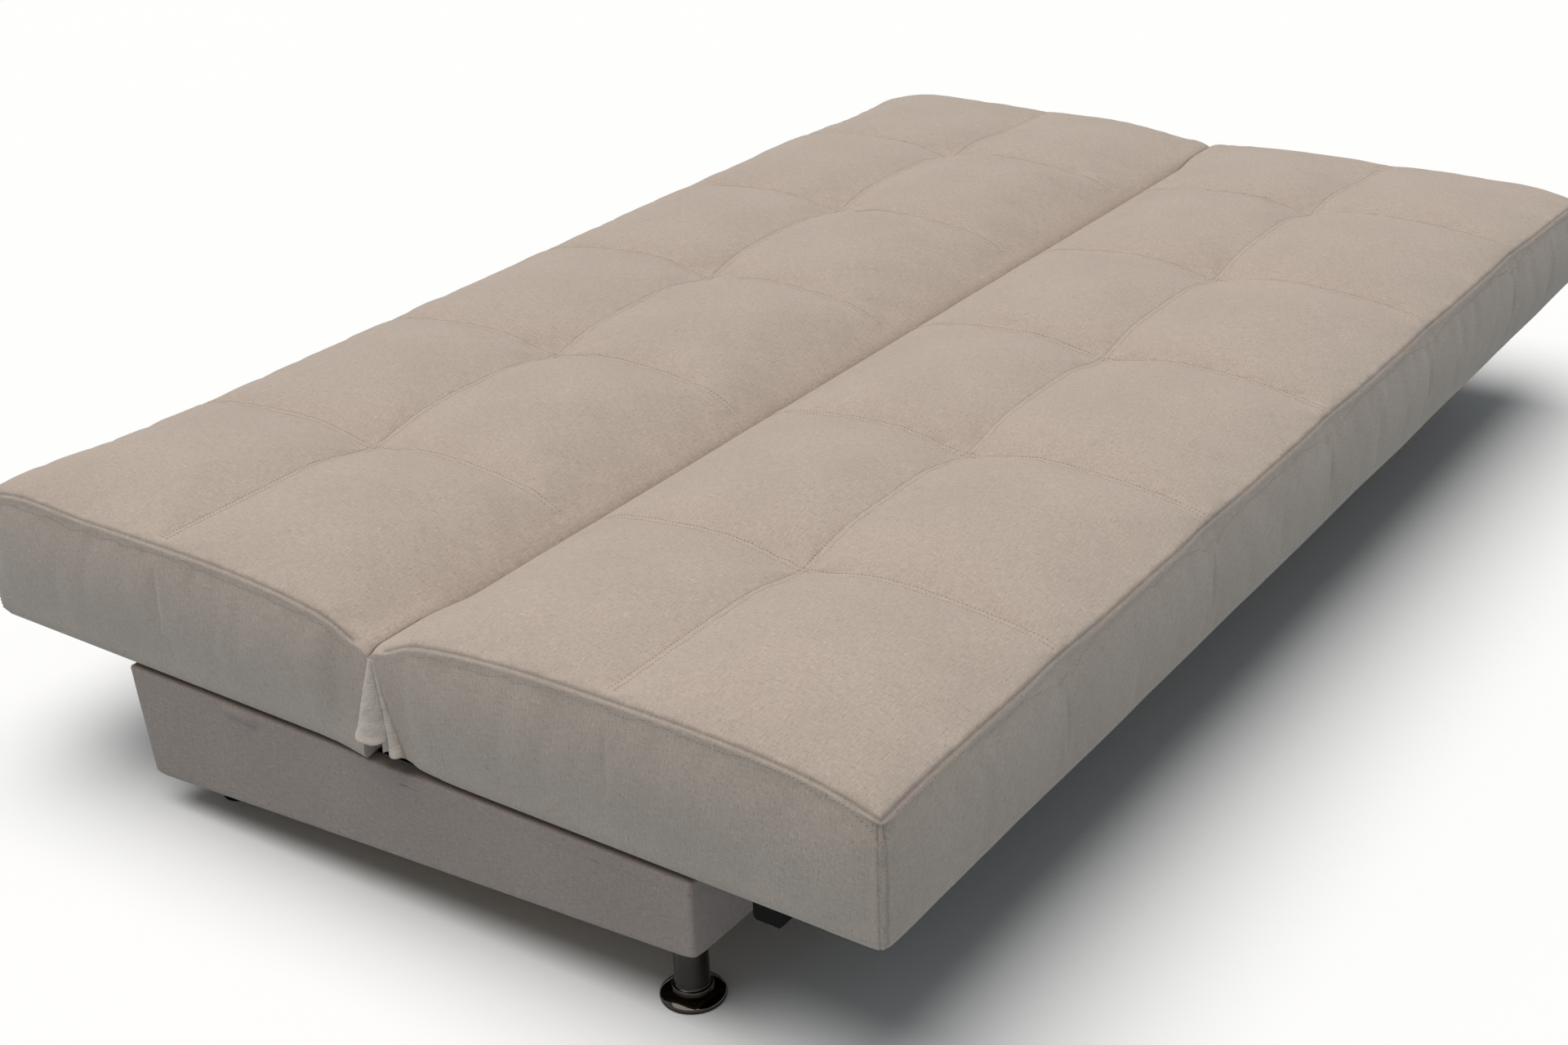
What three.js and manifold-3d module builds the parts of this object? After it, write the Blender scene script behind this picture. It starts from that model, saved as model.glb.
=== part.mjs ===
// Book-type sofa bed, opened flat: two upholstered halves on a storage box.
// Millimetres, +Z up, X along the bed, -Y towards the front, origin on the floor under the middle.
import * as THREE from 'three';
import { mergeVertices } from 'three/addons/utils/BufferGeometryUtils.js';
import Module from 'manifold-3d';

const wasm = await Module();
wasm.setup();

// Overall sizes of the opened bed
const bedLength = 1940;
const halfDepth = 600;
const halfUnderside = 180;
const edgeSeamHeight = 324;
const archRise = 24;

// Clearances and the overrun of cutting bodies
const seatGap = 0.3;
const runningGap = 0.6;
const pinClearance = 0.15;
const cutOverrun = 20;

// Storage box
const boxInset = 4;
const boxDepth = 772;
const boxTop = 174;
const boxFrontBottom = 88;
const boxRearBottom = 41;
const boxRearLean = 13;
const panelThickness = 18;
const bottomThickness = 8;
const panelEdge = 2;
const panelCornerRadius = 9;
const panelEdgeSteps = 2;
const panelCornerSteps = 4;
const cornerBlockSize = 46;
const cornerBlockTop = 150;
const battenWidth = 45;
const battenHeight = 22;
const restPadLength = 60;
const restPadWidth = 12;
const restPadInset = 160;
const restPadEdgeShare = 0.25;

// Feet
const frontFootInsetX = 48;
const frontFootInsetY = 44;
const frontFootDiscRadius = 33;
const frontFootDiscRim = 4;
const frontFootDomeHeight = 6;
const frontFootTubeRadius = 17.5;
const frontFootCollarRadius = 20.5;
const frontFootCollarHeight = 5;
const frontFootCollarTaper = 2;
const frontFootFlangeRadius = 22;
const frontFootFlangeHeight = 5;
const frontFootFlangeTaper = 1.25;
const frontFootSides = 32;
const rearFootInsetX = 62;
const rearFootInsetY = 62;
const rearFootBaseRadius = 20;
const rearFootTopRadius = 26;
const rearFootEdge = 3;

// Dome of the front foot's disc: shares of the way outwards and upwards
const frontFootDomeShares = [[0.84, 0.25], [0.5, 0.7], [0, 1]];

// Hinge line and the linkage that carries it, at both ends of the box
const hingeHeight = 290;
const linkSpacing = 70;
const linkLength = 125;
const linkTopHeight = 165;
const hingeTravel = 214;
const pivotRadius = 5;
const rivetHeadRadius = 8;
const rivetHeadThickness = 1.8;
const linkEyeRadius = 13;
const linkWaistRadius = 11;
const linkThickness = 5;
const plateThickness = 4;
const hingeEyeRadius = 10.5;
const hingePinHeadRadius = 9;
const hingePinHeadThickness = 2.5;
const basePlateCornerRadius = 10;
const basePlateHeight = 46;
const basePlateDrop = 5;
const basePlateMargin = 22;
const basePlateTopShare = 0.5;
const tieTubeRadius = 9;
const tieTubeWall = 1.5;

// Arms, ratchet and pawl
const armFootRadius = 14;
const armKneeDistance = 68;
const armFootRise = 25.7;
const armFootDistance = 165;
const ratchetRootRadius = 29;
const ratchetTipRadius = 34;
const ratchetNotchCount = 3;
const pawlPivotSide = 26;
const pawlPivotDrop = 40;
const pawlPinRadius = 2.5;
const pawlPinHeadRadius = 4.5;
const pawlPinHeadThickness = 1.25;
const pawlBossRadius = 6;
const pawlNoseRadius = 3.2;
const pawlNoseFootHalfWidth = 2.1;
const pawlNoseHalfWidth = 1;
const pawlNoseReach = 30.3;

// Angles of the ratchet, in degrees
const backUprightAngle = 86;
const pawlNoseAngle = 270;
const sectorMarginAngle = 8;
const notchPitchAngle = 13;
const notchTopHalfAngle = 4.2;
const notchRootHalfAngle = 3;
const pawlSwingAngle = 12;

// Frames of the two halves
const sideWall = 20;
const railThickness = 22;
const railHeight = 55;
const railEdge = 3;
const crossRailHeight = 40;
const endRailStop = 100;
const slatThickness = 8;
const slatWidth = 60;
const slatBow = 8;
const slatEndInset = 5;
const slatCount = 3;
const slatSteps = 10;
const clothRecess = 0.5;
const clothThickness = 1.5;
const stopBlockLength = 32;
const stopBlockWidth = 18;
const stopBlockHeight = 36;
const stopBlockClearance = 54;
const stopBlockStation = 26;
const stopBlockEdge = 3;

// Upholstery
const seamGap = 3;
const valleyHalf = 53;
const valleyDepth = 32;
const seamInset = 4;
const sideFootInset = 7;
const sideFootRise = 9;
const cornerPull = 5;
const puffHeight = 5;
const channelDepth = 7;
const channelHalfWidth = 16;
const tuftDepth = 13;
const tuftRadius = 38;
const drawnInSide = 4;
const sectionCount = 6;

// How the crown rises, and where the cover's rim starts to draw in
const archPower = 3;
const insetPower = 8;
const rimShare = 0.999;

// Places of the surface lines: along one section, and from the valley to the tuft line
const alongShares = [0, 0.07, 0.22, 0.5, 0.78, 0.93];
const acrossShares = [0, 0.12, 0.36, 0.68, 0.92, 1];
const sideHeightShares = [0.82, 0.42];

// Hinge bay and gusset
const bayReach = 98;
const bayShoulder = 262;
const bayLobeRadius = 36.5;
const bayLobeRise = 4;
const bayEyeRadius = 12;
const notchHalfWidth = 25;
const gussetThickness = 1.6;
const gussetStation = 9;
const gussetFold = 5;
const gussetRise = 6;
const gussetFoldCount = 1.5;
const gussetColumns = 12;
const gussetRows = 7;

const circleSides = 24;
const turn = Math.PI * 2;

// Derived places
const bedHalf = bedLength / 2;
const boxHalf = bedHalf - boxInset;
const boxFront = -boxDepth / 2;
const boxRear = boxDepth / 2;
const hingeShift = hingeTravel / 2;
const linkRise = Math.sqrt(linkLength ** 2 - hingeShift ** 2);
const linkFootHeight = linkTopHeight - linkRise;
const frameBottom = halfUnderside + clothRecess + clothThickness + seatGap;
const frameTop = frameBottom + railHeight;
const pocketTop = frameTop + seatGap + slatBow + slatThickness + seatGap;
const tuftLine = halfDepth / 2;
const sectionLength = bedLength / sectionCount;
const armFootHeight = frameBottom + armFootRise;
const stopBlockPlace = boxDepth / 2 + stopBlockClearance;

// Stations: distances of the mechanism's layers from the end of the bed, going inwards
const panelStation = boxInset;
const basePlateStation = panelStation + panelThickness + seatGap;
const linkStation = basePlateStation + plateThickness + runningGap;
const bracketStation = linkStation + linkThickness + runningGap;
const seatRailStation = sideWall + seatGap;
const seatArmStation = seatRailStation + railThickness + seatGap;
const backArmStation = seatArmStation + plateThickness + runningGap;
const backRailStation = backArmStation - seatGap - railThickness;
const pinHeadStation = backArmStation + plateThickness + seatGap;
const bayEndStation = pinHeadStation + hingePinHeadThickness + 2 * runningGap;
const crossRailStation = bayEndStation + seatGap;

// Finishes
const fabricTop = new THREE.MeshStandardMaterial({ color: 0xb2a898, roughness: 0.92, metalness: 0 });
const fabricBox = new THREE.MeshStandardMaterial({ color: 0x8a817a, roughness: 0.92, metalness: 0 });
const timber = new THREE.MeshStandardMaterial({ color: 0xc9a878, roughness: 0.7, metalness: 0 });
const hardboard = new THREE.MeshStandardMaterial({ color: 0x9a7a55, roughness: 0.8, metalness: 0 });
const zincSteel = new THREE.MeshStandardMaterial({ color: 0xa8acb0, roughness: 0.4, metalness: 0.9 });
const blackSteel = new THREE.MeshStandardMaterial({ color: 0x2b2c2e, roughness: 0.5, metalness: 0.6 });
const chrome = new THREE.MeshStandardMaterial({ color: 0xd8dadd, roughness: 0.08, metalness: 1 });
const blackPlastic = new THREE.MeshStandardMaterial({ color: 0x161616, roughness: 0.55, metalness: 0 });
const clothUnder = new THREE.MeshStandardMaterial({ color: 0x2a2a2c, roughness: 0.95, metalness: 0 });

// A closed geometry becomes a solid that can be joined and cut
function solidOf(geometry) {
  const plain = geometry.clone();
  plain.deleteAttribute('normal');
  plain.deleteAttribute('uv');
  const merged = mergeVertices(plain);
  const triVerts = new Uint32Array(merged.index.array);
  const vertProperties = new Float32Array(merged.attributes.position.array);
  return new wasm.Manifold(new wasm.Mesh({ numProp: 3, vertProperties, triVerts }));
}

function geometryOf(solid) {
  const mesh = solid.getMesh();
  const geometry = new THREE.BufferGeometry();
  geometry.setAttribute('position', new THREE.BufferAttribute(mesh.vertProperties, 3));
  geometry.setIndex(new THREE.BufferAttribute(mesh.triVerts, 1));
  geometry.computeVertexNormals();
  return geometry;
}

function cutBy(geometry, cutters) {
  let solid = solidOf(geometry);
  for (const cutter of cutters) solid = solid.subtract(solidOf(cutter));
  return geometryOf(solid);
}

function joinAll(geometries) {
  const [first, ...others] = geometries.map(solidOf);
  return geometryOf(others.reduce((whole, part) => whole.add(part), first));
}

// Outlines in the Y-Z plane: points of a circle, and the band that wraps several circles
function circlePoints([y, z], radius, sides = circleSides) {
  const points = [];
  for (let i = 0; i < sides; i += 1) {
    const angle = (turn * i) / sides;
    points.push([y + radius * Math.cos(angle), z + radius * Math.sin(angle)]);
  }
  return points;
}

function turnsLeft(a, b, c) {
  return (b[0] - a[0]) * (c[1] - a[1]) - (b[1] - a[1]) * (c[0] - a[0]) > 0;
}

function wrapped(circles) {
  const points = circles.flatMap(([centre, radius]) => circlePoints(centre, radius));
  points.sort((a, b) => a[0] - b[0] || a[1] - b[1]);
  const half = (list) => {
    const chain = [];
    for (const point of list) {
      while (chain.length > 1 && !turnsLeft(chain.at(-2), chain.at(-1), point)) chain.pop();
      chain.push(point);
    }
    return chain.slice(0, -1);
  };
  return [...half(points), ...half(points.reverse())];
}

function shapeOf(outline, holes = []) {
  const shape = new THREE.Shape(outline.map(([u, v]) => new THREE.Vector2(u, v)));
  for (const hole of holes) {
    const points = hole.map(([u, v]) => new THREE.Vector2(u, v));
    shape.holes.push(new THREE.Path(points));
  }
  return shape;
}

// An outline in Y-Z, drawn out along X
function alongX(outline, fromX, toX, holes = []) {
  const options = { depth: toX - fromX, bevelEnabled: false };
  const geometry = new THREE.ExtrudeGeometry(shapeOf(outline, holes), options);
  const axes = new THREE.Matrix4().makeBasis(
    new THREE.Vector3(0, 1, 0),
    new THREE.Vector3(0, 0, 1),
    new THREE.Vector3(1, 0, 0),
  );
  geometry.applyMatrix4(axes);
  geometry.translate(fromX, 0, 0);
  return geometry;
}

// The same between two stations of one end: side -1 is the left end, +1 the right end
function atStations(side, outline, near, far, holes = []) {
  const xs = [side * (bedHalf - near), side * (bedHalf - far)].sort((a, b) => a - b);
  return alongX(outline, xs[0], xs[1], holes);
}

// A board outline with eased edges
function easedRectangle(lowU, highU, lowV, highV, edge) {
  return [
    [lowU + edge, lowV],
    [highU - edge, lowV],
    [highU, lowV + edge],
    [highU, highV - edge],
    [highU - edge, highV],
    [lowU + edge, highV],
    [lowU, highV - edge],
    [lowU, lowV + edge],
  ];
}

// A board that runs along Y, as an eased X-Z outline drawn out from lowY to highY
function boardAlongY(lowX, highX, lowZ, highZ, lowY, highY, edge) {
  const options = { depth: highY - lowY, bevelEnabled: false };
  const outline = easedRectangle(lowX, highX, lowZ, highZ, edge);
  const geometry = new THREE.ExtrudeGeometry(shapeOf(outline), options);
  geometry.rotateX(Math.PI / 2);
  geometry.translate(0, highY, 0);
  return geometry;
}

function sorted(a, b) {
  return a < b ? [a, b] : [b, a];
}

const sofaBed = new THREE.Group();
sofaBed.name = 'sofa_bed';

function addPiece(name, geometry, material) {
  const mesh = new THREE.Mesh(geometry, material);
  mesh.name = name;
  sofaBed.add(mesh);
}

const ends = [['left', -1], ['right', 1]];

// Storage box

// Height of the box's lower edge, which falls from the front feet to the low rear feet
function lowerEdge(y) {
  return boxFrontBottom + ((y - boxFront) / boxDepth) * (boxRearBottom - boxFrontBottom);
}

function rearFace(z) {
  return boxRear - (boxRearLean * (boxTop - z)) / (boxTop - boxRearBottom);
}

// A corner of an outline, rounded between two neighbours
function roundedCorner(before, corner, after, radius, steps) {
  const start = new THREE.Vector2(...corner);
  const back = new THREE.Vector2(...before).sub(start).setLength(radius).add(start);
  const ahead = new THREE.Vector2(...after).sub(start).setLength(radius).add(start);
  const curve = new THREE.QuadraticBezierCurve(back, start, ahead);
  return curve.getPoints(steps).map((point) => [point.x, point.y]);
}

function endPanelOutline() {
  const frontTop = [boxFront, boxTop];
  const frontLow = [boxFront, boxFrontBottom];
  const rearLow = [rearFace(boxRearBottom), boxRearBottom];
  const rearTop = [boxRear, boxTop];
  return [
    ...roundedCorner(rearTop, frontTop, frontLow, panelEdge, panelEdgeSteps),
    ...roundedCorner(frontTop, frontLow, rearLow, panelCornerRadius, panelCornerSteps),
    ...roundedCorner(frontLow, rearLow, rearTop, panelCornerRadius, panelCornerSteps),
    ...roundedCorner(rearLow, rearTop, frontTop, panelEdge, panelEdgeSteps),
  ];
}

function frontPanelOutline() {
  const back = boxFront + panelThickness;
  return [
    [boxFront, boxTop - panelEdge],
    [boxFront, boxFrontBottom + panelEdge],
    [boxFront + panelEdge, lowerEdge(boxFront + panelEdge)],
    [back, lowerEdge(back)],
    [back, boxTop],
    [boxFront + panelEdge, boxTop],
  ];
}

function rearPanelOutline() {
  const rearLow = rearFace(boxRearBottom);
  return [
    [boxRear - panelThickness, boxTop],
    [rearLow - panelThickness, lowerEdge(rearLow - panelThickness)],
    [rearLow - panelEdge, lowerEdge(rearLow - panelEdge)],
    [rearFace(boxRearBottom + panelEdge), boxRearBottom + panelEdge],
    [boxRear, boxTop - panelEdge],
    [boxRear - panelEdge, boxTop],
  ];
}

function buildBox() {
  for (const [label, side] of ends) {
    const panel = atStations(side, endPanelOutline(), panelStation, panelStation + panelThickness);
    addPiece(`box_end_panel_${label}`, panel, fabricBox);
  }
  const inner = boxHalf - panelThickness - seatGap;
  addPiece('box_front_panel', alongX(frontPanelOutline(), -inner, inner), fabricBox);
  addPiece('box_rear_panel', alongX(rearPanelOutline(), -inner, inner), fabricBox);

  const floorFront = boxFront + panelThickness + seatGap;
  const floorRear = rearFace(boxRearBottom) - panelThickness - seatGap;
  const floorOutline = [
    [floorFront, lowerEdge(floorFront)],
    [floorRear, lowerEdge(floorRear)],
    [floorRear, lowerEdge(floorRear) + bottomThickness],
    [floorFront, lowerEdge(floorFront) + bottomThickness],
  ];
  addPiece('box_bottom_panel', alongX(floorOutline, -inner, inner), hardboard);

  const onFloor = (y) => lowerEdge(y) + bottomThickness + seatGap;
  const battenOutline = [
    [floorFront, onFloor(floorFront)],
    [floorRear - seatGap, onFloor(floorRear - seatGap)],
    [floorRear - seatGap, onFloor(floorRear - seatGap) + battenHeight],
    [floorFront, onFloor(floorFront) + battenHeight],
  ];
  addPiece('box_centre_batten', alongX(battenOutline, -battenWidth / 2, battenWidth / 2), timber);

  for (const [label, side] of ends) {
    const near = panelStation + panelThickness + seatGap;
    const far = near + cornerBlockSize;
    const blocks = [['front', floorFront], ['rear', floorRear - cornerBlockSize]];
    for (const [place, low] of blocks) {
      const high = low + cornerBlockSize;
      const outline = [
        [low, onFloor(low)],
        [high, onFloor(high)],
        [high, cornerBlockTop],
        [low, cornerBlockTop],
      ];
      addPiece(`corner_block_${place}_${label}`, atStations(side, outline, near, far), timber);
    }
  }
}

function buildRestPads() {
  const padHeight = halfUnderside - boxTop - 2 * seatGap;
  const rows = [
    ['front', boxFront + panelThickness / 2],
    ['rear', boxRear - panelThickness / 2],
  ];
  for (const [label, side] of ends) {
    for (const [place, middleY] of rows) {
      const low = boxTop + seatGap;
      const outline = easedRectangle(
        middleY - restPadWidth / 2,
        middleY + restPadWidth / 2,
        low,
        low + padHeight,
        padHeight * restPadEdgeShare,
      );
      const pad = atStations(side, outline, restPadInset, restPadInset + restPadLength);
      addPiece(`rest_pad_${place}_${label}`, pad, blackPlastic);
    }
  }
}

// A turned foot, cut at the top to the slope of the box's bottom
function turnedFoot(profile, centreX, centreY, sides) {
  const points = profile.map(([radius, height]) => new THREE.Vector2(radius, height));
  const foot = new THREE.LatheGeometry(points, sides);
  foot.rotateX(Math.PI / 2);
  foot.translate(centreX, centreY, 0);
  const reach = rearFootTopRadius + cutOverrun;
  const low = centreY - reach;
  const high = centreY + reach;
  const above = [
    [low, lowerEdge(low) - seatGap],
    [high, lowerEdge(high) - seatGap],
    [high, boxTop],
    [low, boxTop],
  ];
  return cutBy(foot, [alongX(above, centreX - reach, centreX + reach)]);
}

function frontFootProfile() {
  const top = boxFrontBottom + cutOverrun;
  const flangeLow = lowerEdge(boxFront + frontFootInsetY) - frontFootFlangeHeight;
  const collarTop = frontFootDiscRim + frontFootDomeHeight + frontFootCollarHeight;
  const dome = frontFootDomeShares.map(([outward, upward]) => [
    frontFootCollarRadius + (frontFootDiscRadius - frontFootCollarRadius) * outward,
    frontFootDiscRim + frontFootDomeHeight * upward,
  ]);
  return [
    [0, 0],
    [frontFootDiscRadius - frontFootDiscRim / 2, 0],
    [frontFootDiscRadius, frontFootDiscRim / 2],
    [frontFootDiscRadius, frontFootDiscRim],
    ...dome,
    [frontFootCollarRadius, collarTop],
    [frontFootTubeRadius, collarTop + frontFootCollarTaper],
    [frontFootTubeRadius, flangeLow],
    [frontFootFlangeRadius, flangeLow + frontFootFlangeTaper],
    [frontFootFlangeRadius, top],
    [0, top],
  ];
}

function rearFootProfile() {
  const top = boxRearBottom + cutOverrun;
  return [
    [0, 0],
    [rearFootBaseRadius - rearFootEdge, 0],
    [rearFootBaseRadius, rearFootEdge],
    [rearFootTopRadius, boxRearBottom - rearFootEdge * 2],
    [rearFootTopRadius, top],
    [0, top],
  ];
}

function buildFeet() {
  for (const [label, side] of ends) {
    const frontX = side * (boxHalf - frontFootInsetX);
    const frontY = boxFront + frontFootInsetY;
    const frontFoot = turnedFoot(frontFootProfile(), frontX, frontY, frontFootSides);
    addPiece(`front_foot_${label}`, frontFoot, chrome);
    const rearX = side * (boxHalf - rearFootInsetX);
    const rearY = rearFace(boxRearBottom) - rearFootInsetY;
    const rearFoot = turnedFoot(rearFootProfile(), rearX, rearY, circleSides);
    addPiece(`rear_foot_${label}`, rearFoot, blackPlastic);
  }
}

// Mechanism: pivots of the linkage at rest, in Y-Z
const hingeLine = [0, hingeHeight];
const linkPlaces = [-linkSpacing / 2, linkSpacing / 2];
const linkFeet = linkPlaces.map((y) => [hingeShift + y, linkFootHeight]);
const linkHeads = linkPlaces.map((y) => [y, linkTopHeight]);

// A rivet through a layer: its shaft, and the head beyond the layer
function rivet(side, centre, radius, shaftFrom, shaftTo, headRadius, headThickness) {
  const inwards = Math.sign(shaftTo - shaftFrom);
  const shaftEnd = shaftTo + (inwards * headThickness) / 2;
  const headEnd = shaftTo + inwards * headThickness;
  return [
    atStations(side, circlePoints(centre, radius), ...sorted(shaftFrom, shaftEnd)),
    atStations(side, circlePoints(centre, headRadius), ...sorted(shaftTo, headEnd)),
  ];
}

function basePlate(side) {
  const [front, rear] = linkFeet;
  const low = linkFootHeight - basePlateDrop;
  const high = low + basePlateHeight;
  const topHalf = ((rear[0] - front[0]) / 2) * basePlateTopShare;
  const outline = wrapped([
    [[front[0] - basePlateMargin, low], basePlateCornerRadius],
    [[rear[0] + basePlateMargin, low], basePlateCornerRadius],
    [[hingeShift - topHalf, high], basePlateCornerRadius],
    [[hingeShift + topHalf, high], basePlateCornerRadius],
  ]);
  const plateEnd = basePlateStation + plateThickness;
  const plate = atStations(side, outline, basePlateStation, plateEnd);
  const pivots = linkFeet.flatMap((foot) => rivet(
    side,
    foot,
    pivotRadius,
    basePlateStation + plateThickness / 2,
    linkStation + linkThickness + seatGap,
    rivetHeadRadius,
    rivetHeadThickness,
  ));
  return joinAll([plate, ...pivots]);
}

function swingLink(side, foot, head) {
  const middle = [(foot[0] + head[0]) / 2, (foot[1] + head[1]) / 2];
  const near = linkStation;
  const far = linkStation + linkThickness;
  const eyes = [foot, head];
  const halves = eyes.map((eye) => {
    const outline = wrapped([[eye, linkEyeRadius], [middle, linkWaistRadius]]);
    return atStations(side, outline, near, far);
  });
  const bores = eyes.map((eye) => {
    const bore = circlePoints(eye, pivotRadius + pinClearance);
    return atStations(side, bore, near - cutOverrun, far + cutOverrun);
  });
  return cutBy(joinAll(halves), bores);
}

function hingeBracket(side) {
  const outline = wrapped([
    [hingeLine, hingeEyeRadius],
    [linkHeads[0], linkEyeRadius],
    [linkHeads[1], linkEyeRadius],
  ]);
  const bracketEnd = bracketStation + plateThickness;
  const plate = atStations(side, outline, bracketStation, bracketEnd);
  const collar = atStations(
    side,
    circlePoints(hingeLine, hingePinHeadRadius),
    bracketStation + plateThickness / 2,
    seatArmStation - seatGap,
  );
  const pin = rivet(
    side,
    hingeLine,
    pivotRadius,
    bracketStation + plateThickness / 2,
    pinHeadStation,
    hingePinHeadRadius,
    hingePinHeadThickness,
  );
  const linkPins = linkHeads.flatMap((head) => rivet(
    side,
    head,
    pivotRadius,
    bracketStation + plateThickness / 2,
    linkStation - seatGap,
    rivetHeadRadius,
    rivetHeadThickness,
  ));
  return joinAll([plate, collar, ...pin, ...linkPins]);
}

// An arm runs from the hinge eye down to the knee, then along the frame's end rail
function armParts(side, station, facing) {
  const knee = [facing * armKneeDistance, armFootHeight];
  const toe = [facing * armFootDistance, armFootHeight];
  const armEnd = station + plateThickness;
  return [
    atStations(side, wrapped([[hingeLine, hingeEyeRadius], [knee, armFootRadius]]), station, armEnd),
    atStations(side, wrapped([[knee, armFootRadius], [toe, armFootRadius]]), station, armEnd),
  ];
}

function hingeBore(side, station) {
  const bore = circlePoints(hingeLine, pivotRadius + pinClearance);
  return atStations(side, bore, station - runningGap / 2, station + plateThickness + runningGap / 2);
}

const pawlPivot = [-pawlPivotSide, hingeHeight - pawlPivotDrop];

// The seat's arm also carries the pawl's pin, on a lug from the hinge eye
function seatArm(side) {
  const lug = wrapped([[hingeLine, hingeEyeRadius], [pawlPivot, pawlBossRadius]]);
  const pawlPin = rivet(
    side,
    pawlPivot,
    pawlPinRadius,
    seatArmStation + plateThickness / 2,
    pinHeadStation,
    pawlPinHeadRadius,
    pawlPinHeadThickness,
  );
  const arm = joinAll([
    ...armParts(side, seatArmStation, -1),
    atStations(side, lug, seatArmStation, seatArmStation + plateThickness),
    ...pawlPin,
  ]);
  return cutBy(arm, [hingeBore(side, seatArmStation)]);
}

function polar(radius, degrees) {
  const angle = THREE.MathUtils.degToRad(degrees);
  return [hingeLine[0] + radius * Math.cos(angle), hingeLine[1] + radius * Math.sin(angle)];
}

// Toothed sector: the notch under the hinge when the back is upright comes first
function ratchetSector() {
  const firstNotch = pawlNoseAngle - backUprightAngle;
  const points = [hingeLine, polar(ratchetTipRadius, firstNotch - sectorMarginAngle)];
  for (let i = 0; i < ratchetNotchCount; i += 1) {
    const notch = firstNotch + i * notchPitchAngle;
    points.push(polar(ratchetTipRadius, notch - notchTopHalfAngle));
    points.push(polar(ratchetRootRadius, notch - notchRootHalfAngle));
    points.push(polar(ratchetRootRadius, notch + notchRootHalfAngle));
    points.push(polar(ratchetTipRadius, notch + notchTopHalfAngle));
  }
  const lastNotch = firstNotch + (ratchetNotchCount - 1) * notchPitchAngle;
  points.push(polar(ratchetTipRadius, lastNotch + sectorMarginAngle));
  return points;
}

function backArm(side) {
  const armEnd = backArmStation + plateThickness;
  const sector = atStations(side, ratchetSector(), backArmStation, armEnd);
  const arm = joinAll([...armParts(side, backArmStation, 1), sector]);
  return cutBy(arm, [hingeBore(side, backArmStation)]);
}

// The pawl is drawn engaged and then swung down to its rest place, clear of the teeth
function pawl(side) {
  const noseTop = hingeHeight - pawlNoseReach;
  const heelHeight = pawlPivot[1];
  const heel = [-pawlNoseFootHalfWidth, heelHeight];
  const bar = wrapped([[pawlPivot, pawlBossRadius], [heel, pawlNoseRadius]]);
  const nose = [
    heel,
    [pawlNoseFootHalfWidth, heelHeight],
    [pawlNoseHalfWidth, noseTop],
    [-pawlNoseHalfWidth, noseTop],
  ];
  const near = backArmStation;
  const far = backArmStation + plateThickness;
  const body = joinAll([atStations(side, bar, near, far), atStations(side, nose, near, far)]);
  const bore = circlePoints(pawlPivot, pawlPinRadius + pinClearance);
  const drilled = cutBy(body, [atStations(side, bore, near - cutOverrun, far + cutOverrun)]);
  drilled.translate(0, -pawlPivot[0], -pawlPivot[1]);
  drilled.rotateX(-THREE.MathUtils.degToRad(pawlSwingAngle));
  drilled.translate(0, pawlPivot[0], pawlPivot[1]);
  return drilled;
}

function tieTube() {
  const half = bedHalf - bracketStation - plateThickness - seatGap;
  const centre = [0, linkTopHeight];
  const hollow = circlePoints(centre, tieTubeRadius - tieTubeWall);
  return alongX(circlePoints(centre, tieTubeRadius), -half, half, [hollow]);
}

function buildMechanism() {
  for (const [label, side] of ends) {
    addPiece(`base_plate_${label}`, basePlate(side), zincSteel);
    addPiece(`front_link_${label}`, swingLink(side, linkFeet[0], linkHeads[0]), blackSteel);
    addPiece(`rear_link_${label}`, swingLink(side, linkFeet[1], linkHeads[1]), blackSteel);
    addPiece(`hinge_bracket_${label}`, hingeBracket(side), zincSteel);
    addPiece(`seat_arm_${label}`, seatArm(side), blackSteel);
    addPiece(`back_arm_${label}`, backArm(side), blackSteel);
    addPiece(`ratchet_pawl_${label}`, pawl(side), zincSteel);
  }
  addPiece('tie_tube', tieTube(), blackSteel);
}

// Frame of one half: facing -1 is the seat, +1 the back
function slatOutline(facing) {
  const low = sideWall + seamGap + slatEndInset;
  const high = halfDepth - sideWall - slatEndInset;
  const underside = [];
  const topside = [];
  for (let i = 0; i <= slatSteps; i += 1) {
    const share = i / slatSteps;
    const y = facing * (low + (high - low) * share);
    const bow = slatBow * (1 - (2 * share - 1) ** 2);
    underside.push([y, frameTop + seatGap + bow]);
    topside.push([y, frameTop + seatGap + bow + slatThickness]);
  }
  const outline = [...underside, ...topside.reverse()];
  return facing > 0 ? outline : outline.reverse();
}

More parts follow.
